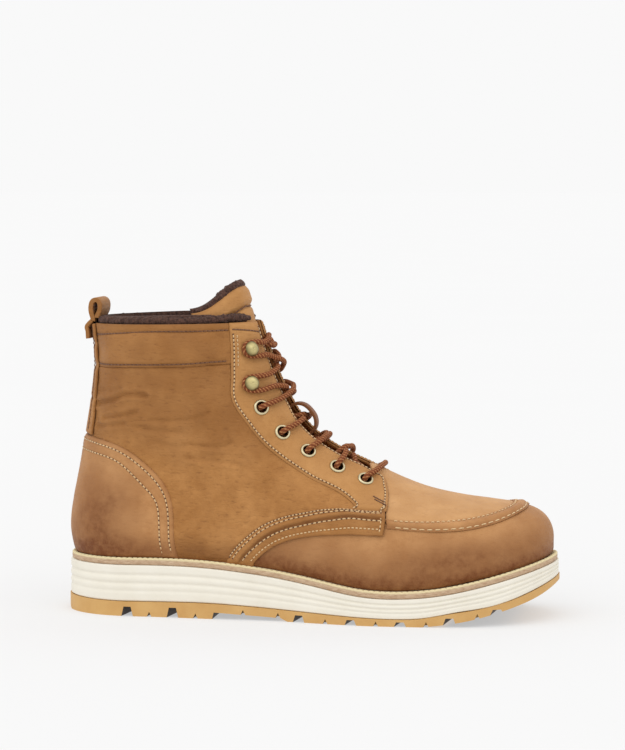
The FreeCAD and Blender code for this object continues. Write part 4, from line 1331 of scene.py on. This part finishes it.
def eyelets(name, side):
    """Rolled brass rims over a barrel, with a washer behind."""
    r, rim = EYELET_HOLE_R, EYELET_RIM_R
    profile = rounded([(r + 0.2, -3.0), (rim - 0.2, -3.0), (rim - 0.2, -2.6), (r + 0.45, -2.6),
                       (r + 0.45, 1.75), (rim - 0.3, 1.75), (rim, 2.1), (rim - 0.45, 2.65),
                       (r + 0.75, 2.85), (r, 2.2), (r, -2.6)], 0.35, 4)

    # painted shade inside the barrel and round the rim's outer edge
    def dim(radius, height):
        return np.where(radius < r + 0.35, 0.75, 0.35 * smooth((radius - rim + 0.5) / 0.5))

    fittings("eyelets_" + name, side, EYELETS, profile, PALE_BRASS, dim)


def hooks(name, side):
    """Domed lace studs with a waist for the lace."""
    profile = [(PIN_R, -3.1), (3.0, -3.1), (3.2, -2.95), (3.2, -2.75), (2.0, -2.7), (1.8, -2.5), (1.8, 1.7),
               (2.0, 1.85), (3.2, 1.9), (3.4, 2.05), (3.2, 2.25), (2.1, 2.4), (1.85, 2.8), (1.8, 4.6),
               (1.95, 5.6), (2.6, 6.0), (3.9, 6.0), (4.5, 6.15), (4.7, 6.4), (4.62, 6.7), (4.2, 7.15),
               (3.4, 7.7), (2.3, 8.2), (1.1, 8.45), (PIN_R, 8.5)]

    # painted shade round the dome's edge and on everything below the dome
    def dim(radius, height):
        return np.where(height > 6.3, 0.75 * smooth((radius - 2.4) / 2.3), 0.5)

    fittings("lace_hooks_" + name, side, HOOKS, profile, BRASS, dim)


# ---------------------------------------------------------------- lace
# the lace's height: on the facing, round a hook's neck, on an eyelet's rim, and under the facing
OVER = 4.7
AT_HOOK = 3.9
AT_EYELET = 5.0
UNDER = -4.7
# for the crossing after each stop, its v and height for the strand on top and the one below
CROSSINGS = [((0.652, -0.6), (0.650, -4.7)), ((0.671, 2.7), (0.671, -1.8)), ((0.720, 2.9), (0.720, -1.8)),
             ((0.777, 2.0), (0.777, -2.5)), ((0.836, 5.3), (0.836, 1.0)), ((0.897, 6.3), (0.897, 2.0)),
             ((0.960, 3.0), (0.938, 3.0))]
EDGE_ROOM = 0.010            # u from the facing's front edge to where the lace bends over it
MIDDLE_U = 0.028
# (t, v) places of each end under the facing, after the last crossing
TAIL = [(0.053, 0.944), (0.105, 0.935), (0.146, 0.915), (0.136, 0.882), (0.140, 0.850), (0.176, 0.836),
        (0.198, 0.858), (0.184, 0.888)]
HOLE_BACK = 0.8              # mm from an eyelet's centre to the lace in it
ASIDE = (0.3, 0.5, 0.8)      # a direction that no lace end runs in
BRAID_PITCH = 7.0            # mm along the cord for a strand's full turn
BRAID_STRANDS = 6            # each way round
BRAID_SIDES = 24             # corners of its section


def spot(side, t, v, back=0.0, up=0.0, out=0.0):
    """A point near the surface, moved back from the front edge, up the boot and outwards."""
    point, around, rise, normal = frame_at(side * t, v)
    return point + around * (side * back) + rise * up + normal * out


def lace_half(side, strand):
    """Points of one half of the lace, from the bottom bar up; strand 0 lies over strand 1."""
    route = [spot(side, 0.075, 0.585, out=4.3), spot(side, 0.125, 0.577, out=4.2)]
    stops = EYELETS + HOOKS
    for i, (t, v) in enumerate(stops):
        cross_v, height = CROSSINGS[i][strand]
        if i < len(EYELETS):
            first, second = (AT_EYELET, UNDER) if i == 0 else (UNDER, AT_EYELET)
            route.append(spot(side, t, v, back=HOLE_BACK, out=first))
            route.append(spot(side, t, v, back=HOLE_BACK, out=second))
        else:
            route.append(spot(side, t, v, back=-7.5, up=-4.6, out=OVER))
            route.append(spot(side, t, v, back=3.9, up=-3.9, out=AT_HOOK))
            route.append(spot(side, t, v, back=3.9, up=3.9, out=AT_HOOK))
            route.append(spot(side, t, v, back=-7.5, up=4.6, out=OVER))
        leave = UNDER if i == 0 else OVER
        arrive = UNDER if i < len(EYELETS) - 1 or i == len(stops) - 1 else OVER
        edge_v = mix(v, cross_v, 0.72)
        edge_u = QUARTER_FRONT(edge_v) - EDGE_ROOM
        route.append(spot(side, mix(t, edge_u, 0.55), mix(v, cross_v, 0.40), out=leave))
        route.append(spot(side, edge_u, edge_v, out=leave))
        route.append(spot(side, MIDDLE_U, cross_v - 0.004, out=height))
        route.append(spot(-side, MIDDLE_U, cross_v + 0.004, out=height))
        side = -side
        if i < len(stops) - 1:
            next_t, next_v = stops[i + 1]
            edge_v = mix(cross_v, next_v, 0.28)
            edge_u = QUARTER_FRONT(edge_v) - EDGE_ROOM
            route.append(spot(side, edge_u, edge_v, out=arrive))
            route.append(spot(side, mix(edge_u, next_t, 0.45), mix(cross_v, next_v, 0.60), out=arrive))
    for t, v in TAIL:
        route.append(spot(side, t, v, out=UNDER))
    return route


def lace_line():
    """Points along the lace's NURBS spline, in mm, read from a curve with no bevel."""
    route = np.array(lace_half(-1, 0)[::-1] + lace_half(1, 1)) * MM
    curve = bpy.data.curves.new("lace_route", "CURVE")
    curve.dimensions = "3D"
    curve.resolution_u = 10
    nurbs = curve.splines.new("NURBS")
    nurbs.points.add(len(route) - 1)
    for point, place in zip(nurbs.points, route):
        point.co = (*place, 1.0)
    nurbs.order_u = 3
    nurbs.use_endpoint_u = True
    holder = bpy.data.objects.new("lace_route", curve)
    bpy.context.scene.collection.objects.link(holder)
    mesh = bpy.data.meshes.new_from_object(holder)
    points = np.array([vertex.co for vertex in mesh.vertices]) / MM
    bpy.data.objects.remove(holder)
    return points


def even(points, step):
    """The line at even steps, in mm."""
    run = np.concatenate([[0], np.cumsum(np.linalg.norm(np.diff(points, axis=0), axis=1))])
    where = np.linspace(0, run[-1], max(2, round(run[-1] / step) + 1))
    return np.stack([np.interp(where, run, points[:, k]) for k in range(3)], -1), where


def carried_frame(line):
    """Unit vectors along a line and two across it that turn as little as possible."""
    along = unit(np.gradient(line, axis=0))
    side = np.zeros_like(line)
    side[0] = unit(np.cross(along[0], ASIDE))
    for k in range(1, len(line)):
        across = side[k - 1] - along[k] * (side[k - 1] @ along[k])
        side[k] = across / np.linalg.norm(across)
    return along, side, np.cross(along, side)


def braid(line, run):
    """Points, faces and the yarn's tone of a round braided cord along a line; the tone is darker in the dips
    between strands as painted shade.
    """
    along, side, other = carried_frame(line)
    angle = np.arange(BRAID_SIDES) * tau / BRAID_SIDES
    turn = run[:, None] / BRAID_PITCH * tau
    right = np.cos((angle[None] + turn) * BRAID_STRANDS / 2)
    left = np.cos((angle[None] - turn) * BRAID_STRANDS / 2)
    over = np.maximum(right, left)
    radius = LACE_D / 2 * (0.90 + 0.13 * over)
    points = (line[:, None] + side[:, None] * (np.cos(angle) * radius)[..., None]
              + other[:, None] * (np.sin(angle) * radius)[..., None])
    # two-tone strands, with painted shade where neither strand stands out
    yarn_tone_and_shade = smooth((left - right) * 0.8 + 0.35) * smooth(over)
    faces = ring_quads(len(line), BRAID_SIDES) + end_caps(len(line), BRAID_SIDES)
    return points.reshape(-1, 3), faces, yarn_tone_and_shade.ravel()


TIP_PROFILE = [(PIN_R, -1.5), (1.5, -1.5), (1.42, 3.0), (1.3, 16.8), (0.9, 17.9), (PIN_R, 18.0)]


def lace():
    """The braided lace and its two tips."""
    points = lace_line()
    line, run = even(points, 0.42)
    mesh_points, faces, yarn_tone_and_shade = braid(line, run)
    piece = make_object("lace", mesh_points, faces, LACE_CORD, {"yarn_tone_and_shade": yarn_tone_and_shade})
    finished(piece, "boot", "lace_cord", "lace")
    profile = rounded(TIP_PROFILE, 0.4, 3)
    tips = [lathe(profile, end, unit(end - before), np.array(ASIDE), 24)
            for end, before in ((line[0], line[1]), (line[-1], line[-2]))]
    aglets = make_object("lace_tips", *joined(tips), TIP_PLASTIC)
    finished(aglets, "boot", "tip_plastic", "lace_tips")


# ---------------------------------------------------------------- keeper and pull loop
def ribbon_profile(width, thick):
    """The rounded rectangle that is a strap's section."""
    half_w, half_t = width / 2, thick / 2
    return rounded([(-half_w, -half_t), (half_w, -half_t), (half_w, half_t), (-half_w, half_t)], 0.5, 5)


def ribbon(name, places, thick, width, material, step=0.5):
    """A leather strap along (x, z) places in the boot's middle plane."""
    index = np.arange(len(places))
    where = np.linspace(0, len(places) - 1, 200)
    x = spline([(i, p[0]) for i, p in zip(index, places)])(where)
    z = spline([(i, p[1]) for i, p in zip(index, places)])(where)
    line, _ = even(np.stack([x, np.full_like(x, Y_CENTRE), z], -1), step)
    along = unit(np.gradient(line, axis=0))
    side = np.tile(np.array([0.0, 1.0, 0.0]), (len(line), 1))
    points, faces = sweep(line, side, np.cross(along, side), ribbon_profile(width, thick))
    rim = np.exp(-np.clip(width / 2 - abs(points[:, 1] - Y_CENTRE), 0, None) / 1.2)
    return make_object(name, points, faces, material, {"rim": rim, "burnish_and_shade": np.full(len(points), 0.1)})


KEEPER_LINE = ((0.806, -5.6), (0.806, 0.5), (0.795, 5.0), (0.778, 6.3), (0.760, 5.4), (0.746, 1.0),
               (0.746, -5.6))   # v and height along the loop


def keeper():
    """The small leather loop on the tongue, which the lace runs through."""
    places = [raised(0.0, v, out)[[0, 2]] for v, out in KEEPER_LINE]
    piece = ribbon("lace_keeper", places, 1.8, 9.0, KEEPER, 0.4)
    middle_v = (KEEPER_LINE[0][0] + KEEPER_LINE[-1][0]) / 2
    outside = raised(0.0, middle_v, 1.0) * MM
    inside = raised(0.0, middle_v, -6.0) * MM
    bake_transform(piece)
    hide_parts("lace_keeper")


PULL_LOOP_X = -138.8
PULL_LOOP_WIDTH = 24.0
PULL_LOOP_BENDS = ((1.9, 0.0), (1.9, 1.4), (1.0, 4.4), (0.5, 8.0), (1.3, 11.8), (3.7, 13.2), (6.0, 11.6),
                   (6.4, 8.2), (5.8, 5.6), (4.7, 3.4), (4.4, 2.0))   # mm behind and above its foot


def pull_loop():
    """The heel loop, and its tab sewn to the back strip."""
    lowest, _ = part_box("pull_loop")
    x, z = PULL_LOOP_X, (lowest / MM)[2]
    tab = [raised(1.0, v, 3.0)[[0, 2]] for v in (0.948, 0.962, 0.976, 0.990)] + [(x + 1.3, z + 0.4)]
    finished(ribbon("pull_loop_tab", tab, 2.4, PULL_LOOP_WIDTH, TAN), "boot", "tan_leather")
    loop = [(x + dx, z + dz) for dx, dz in PULL_LOOP_BENDS]
    piece = ribbon("pull_loop", loop, 2.9, PULL_LOOP_WIDTH, TAN)
    return finished(piece, "pull_loop", "tan_leather", "pull_loop")


# ---------------------------------------------------------------- bottom
MIDSOLE_BOTTOM = spline([(-165, 10.1), (-118, 9.1), (-89, 9.3), (-57, 9.4), (-17, 7.3), (12, 5.8),
                         (34, 4.8), (55, 4.3), (77, 5.3), (97, 9.1), (117, 12.2), (136, 18.4),
                         (155, 26.8), (165, 32.0)])


def outline(step):
    """Places round the featherline at even steps: points, outward directions, and run in mm."""
    u = np.linspace(-1, 1, 3001)
    fine = surface(u, 0.0)
    run = np.concatenate([[0], np.cumsum(np.linalg.norm(np.diff(fine, axis=0), axis=1))])
    count = round(run[-1] / step)
    where = np.arange(count) * run[-1] / count
    at = np.interp(where, run, u)
    shift = 1e-3
    along = surface(at + shift, 0.0) - surface(at - shift, 0.0)
    across = unit(np.stack([along[:, 1], -along[:, 0], np.zeros(count)], -1))
    return surface(at, 0.0), across, where


def ring_piece(base, across, profile, height):
    """Points and faces of a closed band round the boot. The profile, by station and corner, says how far
    out each corner lies, and height(points) gives their z."""
    points = base[:, None] + across[:, None] * profile[..., None]
    points[..., 2] = height(points)
    return points, ring_quads(*profile.shape, closed=True)


WELT_PITCH = 3.3
WELT_PROFILE = [(-3.0, -0.8), (-0.4, -0.7), (0.5, -0.9), (1.2, -1.35), (1.9, -0.95), (2.6, -0.55),
                (3.4, -0.4), (4.1, -0.55), (4.6, -1.0), (4.8, -1.6), (4.62, -2.0), (4.78, -2.5), (4.8, -3.2),
                (4.72, -4.0), (4.45, -4.6), (3.9, -4.95), (2.0, -5.0), (-3.0, -5.0)]   # out, up


def welt():
    """The raw leather strip under the upper, with a stitched bead on its top."""
    base, across, run = outline(0.55)
    out, up = np.array(WELT_PROFILE).T
    total = run[1] * len(run)
    pitch = total / round(total / WELT_PITCH)
    notch = (0.5 + 0.5 * np.cos(tau * run / pitch)) ** 5
    on_bead = np.exp(-((out - 3.5) / 1.3) ** 2) * (up > -1.8)
    profile = out[None] - 0.28 * notch[:, None] * on_bead[None] * (out > 4)[None]

    def height(points):
        return FEATHER(points[..., 0]) + up[None] - 0.5 * notch[:, None] * on_bead[None]

    points, faces = ring_piece(base, across, profile, height)
    # painted light: the welt's upward face gets the lighter top colour
    top = np.clip((up + 2.2) / 0.9, 0, 1) * np.clip((out - 0.5) / 1.0, 0, 1)
    shade = np.broadcast_to(top, points.shape[:-1]).ravel()
    piece = make_object("welt", points.reshape(-1, 3), faces, WELT, {"top": shade})
    return finished(piece, "boot", "welt_leather", "welt")


MIDSOLE_GROOVES = ((0.27, 0.80), (0.50, 0.75), (0.71, 0.40))  # share of the wall's height from its top, depth


def midsole():
    """The foam midsole, with moulded lines round its wall."""
    base, across, _ = outline(1.2)
    wall = np.linspace(0, 1, 56)
    round_off = 0.9 * (1 - np.sqrt(np.clip(1 - ((abs(wall - 0.5) * 2 - 0.9) / 0.1).clip(0, 1) ** 2, 0, 1)))
    lines = sum(depth * bump(wall - share, 0.05) for share, depth in MIDSOLE_GROOVES)
    belly = 0.35 * np.sin(pi * wall) - 0.2
    out = MIDSOLE_PROUD - round_off - lines + belly * 0.6
    inward = np.array([-2.0, -10.0, -18.0])
    profile = np.concatenate([inward[::-1], out, inward])
    share = np.concatenate([np.zeros(3), wall, np.ones(3)])

    def height(points):
        x = points[..., 0]
        return mix(FEATHER(x) - WELT_THICKNESS - 0.1, MIDSOLE_BOTTOM(x) + 0.05, share[None])

    points, faces = ring_piece(base, across, np.broadcast_to(profile, (len(base), len(profile))), height)
    piece = make_object("midsole", points.reshape(-1, 3), faces, MIDSOLE_FOAM)
    return finished(piece, "boot", "midsole_foam", "midsole")


FOOTBED_INSET = 8.6
FOOTBED_TOP = 5.4            # above the featherline
FOOTBED_BOTTOM = 1.4


def footbed():
    """The fabric-topped footbed, with a raised rim."""
    u = np.linspace(0, 1, 200)
    share = np.linspace(0, 1, 60)
    shift = 1e-3

    def edge_at(u):
        point = surface(u, 0.0)
        along = surface(u + shift, 0.0) - surface(u - shift, 0.0)
        return point + unit(np.stack([along[:, 1], -along[:, 0], np.zeros(len(u))], -1)) * -FOOTBED_INSET

    left, right = edge_at(u), edge_at(-u)
    grid = left[:, None] * (1 - share)[None, :, None] + right[:, None] * share[None, :, None]
    x = grid[..., 0]
    rim = 1.2 * (abs(share - 0.5) * 2)[None] ** 6
    top, bottom = grid.copy(), grid.copy()
    top[..., 2] = FEATHER(x) + FOOTBED_TOP + rim + 0.12 * noise_at(grid, 5)
    bottom[..., 2] = FEATHER(x) + FOOTBED_BOTTOM
    points, faces, _ = shell(top, bottom, np.ones((len(u) - 1, len(share) - 1), bool))
    piece = make_object("footbed", points, faces, FOOTBED_FABRIC)
    return finished(piece, "boot", "footbed_fabric", "footbed")


# ---------------------------------------------------------------- stitching
THREAD = 0.85
NEEDLE = 0.95        # length and thickness of a needle hole
NEEDLE_SINK = 0.22


def sewing(name, body, rows, thread):
    """Rows of stitches and, between them, dark marks for the needle holes, which are painted shade; a row is
    (line, height, pitch, length).
    """
    stitches = [stitch_row(line, height, pitch, length, THREAD) for line, height, pitch, length in rows]
    # dark marks painted as the shade in each needle hole
    gaps = [stitch_row(line, lowered(height, NEEDLE_SINK), pitch, NEEDLE, NEEDLE, pitch / 2)
            for line, height, pitch, _ in rows]
    finished(make_object(name, *joined(stitches), thread), body, None)
    finished(make_object(name + "_holes", *joined(gaps), NEEDLE_HOLE_SHADE), body, None)


def lowered(height, by):
    """A row's height, a number or a function of (u, v), less so many mm."""
    if callable(height):
        return lambda u, v: height(u, v) - by
    return height - by


def collar_thread_height(u, v):
    return collar_bulge(abs(u), v) - 0.15


def all_stitches():
    """The threads of every seam that shows, with the pitch and length of its stitches."""
    over = OVERLAY[1]
    for name in SIDES:
        rows = ROWS[name]
        cream = [(rows["counter_outer"], over, 2.8, 1.95),
                 (rows["counter_inner"], over, 2.8, 1.95),
                 (rows["facing_front"], over, 2.6, 1.8),
                 (rows["facing_rear"], over, 2.5, 1.7),
                 (rows["facing_rear_double"], over, 2.5, 1.7)]
        for k, (pitch, length) in enumerate(((2.3, 1.5), (3.2, 2.2), (3.1, 2.1), (2.5, 1.6))):
            rise = BAND_TAPER * (1 - smooth(BAND_ROWS[k] * BAND_WIDTH / BAND_BLEND))
            cream.append((rows["band_%d" % k], over - rise, pitch, length))
        sewing("stitches_" + name, "boot", cream, CREAM_THREAD)
        brown = [(rows["back_strip"], over, 2.8, 1.9),
                 (rows["collar_low"], collar_thread_height, 2.9, 2.0),
                 (rows["collar_top"], collar_thread_height, 2.7, 1.8),
                 (rows["facing_top"], over, 2.7, 1.8),
                 (rows["tack_0"], over + 0.3, 2.2, 1.5),
                 (rows["tack_1"], over + 0.3, 2.2, 1.5)]
        sewing("collar_stitches_" + name, "boot", brown, BROWN_THREAD)
    saddle = [(moc_row(MOC_ROWS[0]), over - 0.5, 3.2, 2.1),
              (moc_row(MOC_ROWS[1]), over - 0.5, 4.8, 3.3)]
    sewing("moc_stitches", "boot", saddle, CREAM_THREAD)
    u = np.linspace(-0.31, 0.31, 300)
    top_row = (u, tongue_top(u) - TONGUE_ROW_DROP)
    sewing("tongue_stitches", "tongue", [(top_row, lambda u, v: tongue_depth(abs(u), v) - 0.25, 2.6, 1.6)],
           BROWN_THREAD)


# ---------------------------------------------------------------- floor, light and camera
FLOOR_GREY = (173, 173, 173)
FLOOR_GLOW = 0.460
FLOOR_REACH = 60.0           # metres from its middle to each side
BACKDROP = 0.947


AZIMUTH, ELEVATION = radians(9), radians(6)
CAMERA_DISTANCE = 1.7        # metres
LENS = 130.6
AIM_UP = 0.0576              # metres from the target to the middle of the picture


def camera():
    """The camera, low on the lateral side and a little towards the toe."""
    azimuth, elevation = AZIMUTH, ELEVATION
    target = Vector((0.0, 0.0, 0.090))
    back = Vector((sin(azimuth) * cos(elevation), -cos(azimuth) * cos(elevation), sin(elevation)))
    up = Vector((-sin(azimuth) * sin(elevation), cos(azimuth) * sin(elevation), cos(elevation)))
    data = bpy.data.cameras.new("camera")
    data.sensor_width = 36.0
    data.lens = LENS
    data.clip_end = 100.0
    eye = bpy.data.objects.new("camera", data)
    eye.location = target + back * CAMERA_DISTANCE
    aim = target + up * AIM_UP
    eye.rotation_mode = "QUATERNION"
    eye.rotation_quaternion = (aim - eye.location).to_track_quat("-Z", "Y")
    bpy.context.scene.collection.objects.link(eye)
    bpy.context.scene.camera = eye


def sun(name, place, strength, spread):
    """A broad distant light shining from a place towards the boot."""
    data = bpy.data.lights.new(name, "SUN")
    data.energy = strength
    data.angle = radians(spread)
    light = bpy.data.objects.new(name, data)
    light.location = place
    light.rotation_mode = "QUATERNION"
    light.rotation_quaternion = (-Vector(place)).to_track_quat("-Z", "Y")
    bpy.context.scene.collection.objects.link(light)


def studio():
    """An even white studio: the floor meets the backdrop without a line."""
    scene = bpy.context.scene
    scene.view_settings.view_transform = "Standard"
    scene.world = bpy.data.worlds.new("studio")
    scene.world.use_nodes = True
    background = scene.world.node_tree.nodes["Background"]
    background.inputs["Color"].default_value = (BACKDROP, BACKDROP, BACKDROP, 1.0)
    background.inputs["Strength"].default_value = 1.0
    lay_floor(scene)
    sun("key", (-0.6, -1.0, 1.3), 0.55, 60)
    sun("fill", (0.9, -0.6, 1.5), 0.35, 60)


def lay_floor(scene):
    """A matt floor that glows faintly, so that it is as bright as the backdrop."""
    material, tree, principled, where = shader("floor", 1.0, Specular_IOR_Level=0.0)
    soft = noise_node(tree, where, 400, 2)
    grey = colour_mix(tree, ramp(tree, soft, 0.2, 0.8), FLOOR_GREY, tuple(c + 1 for c in FLOOR_GREY))
    tree.links.new(grey, principled.inputs["Base Color"])
    principled.inputs["Emission Color"].default_value = (1.0, 1.0, 1.0, 1.0)
    principled.inputs["Emission Strength"].default_value = FLOOR_GLOW
    mesh = bpy.data.meshes.new("floor")
    corners = [(-1, -1), (1, -1), (1, 1), (-1, 1)]
    mesh.from_pydata([(x * FLOOR_REACH, y * FLOOR_REACH, 0) for x, y in corners], [], [(0, 1, 2, 3)])
    mesh.materials.append(material)
    floor = bpy.data.objects.new("floor", mesh)
    scene.collection.objects.link(floor)


# ---------------------------------------------------------------- carried-over CAD nodes
CAD_MATERIALS = {"outsole": GUM, "insole_board": BOARD, "bottom_filler": CORK, "shank": STEEL,
                 "heel_stiffener": BOARD, "toe_puff": BOARD}


def dress_cad():
    """Gives the CAD nodes that stay in view or inside the boot their materials."""
    for name, material in CAD_MATERIALS.items():
        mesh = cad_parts[name].data
        mesh.materials.clear()
        mesh.materials.append(material)


# ---------------------------------------------------------------- build
camera()
lace()
vamp()
apron()
moc_strip()
for side_name, side_sign in SIDES.items():
    quarter(side_name, side_sign)
    facing(side_name, side_sign)
    facing_backer(side_name, side_sign)
    side_band(side_name, side_sign)
    collar(side_name, side_sign)
    eyelets(side_name, side_sign)
    hooks(side_name, side_sign)
heel_counter()
back_strip()
tongue()
tongue_root()
shaft_lining()
vamp_lining()
tongue_lining()
topline_pile()
tongue_edge_pile()
keeper()
pull_loop()
welt()
midsole()
footbed()
all_stitches()
dress_cad()
studio()
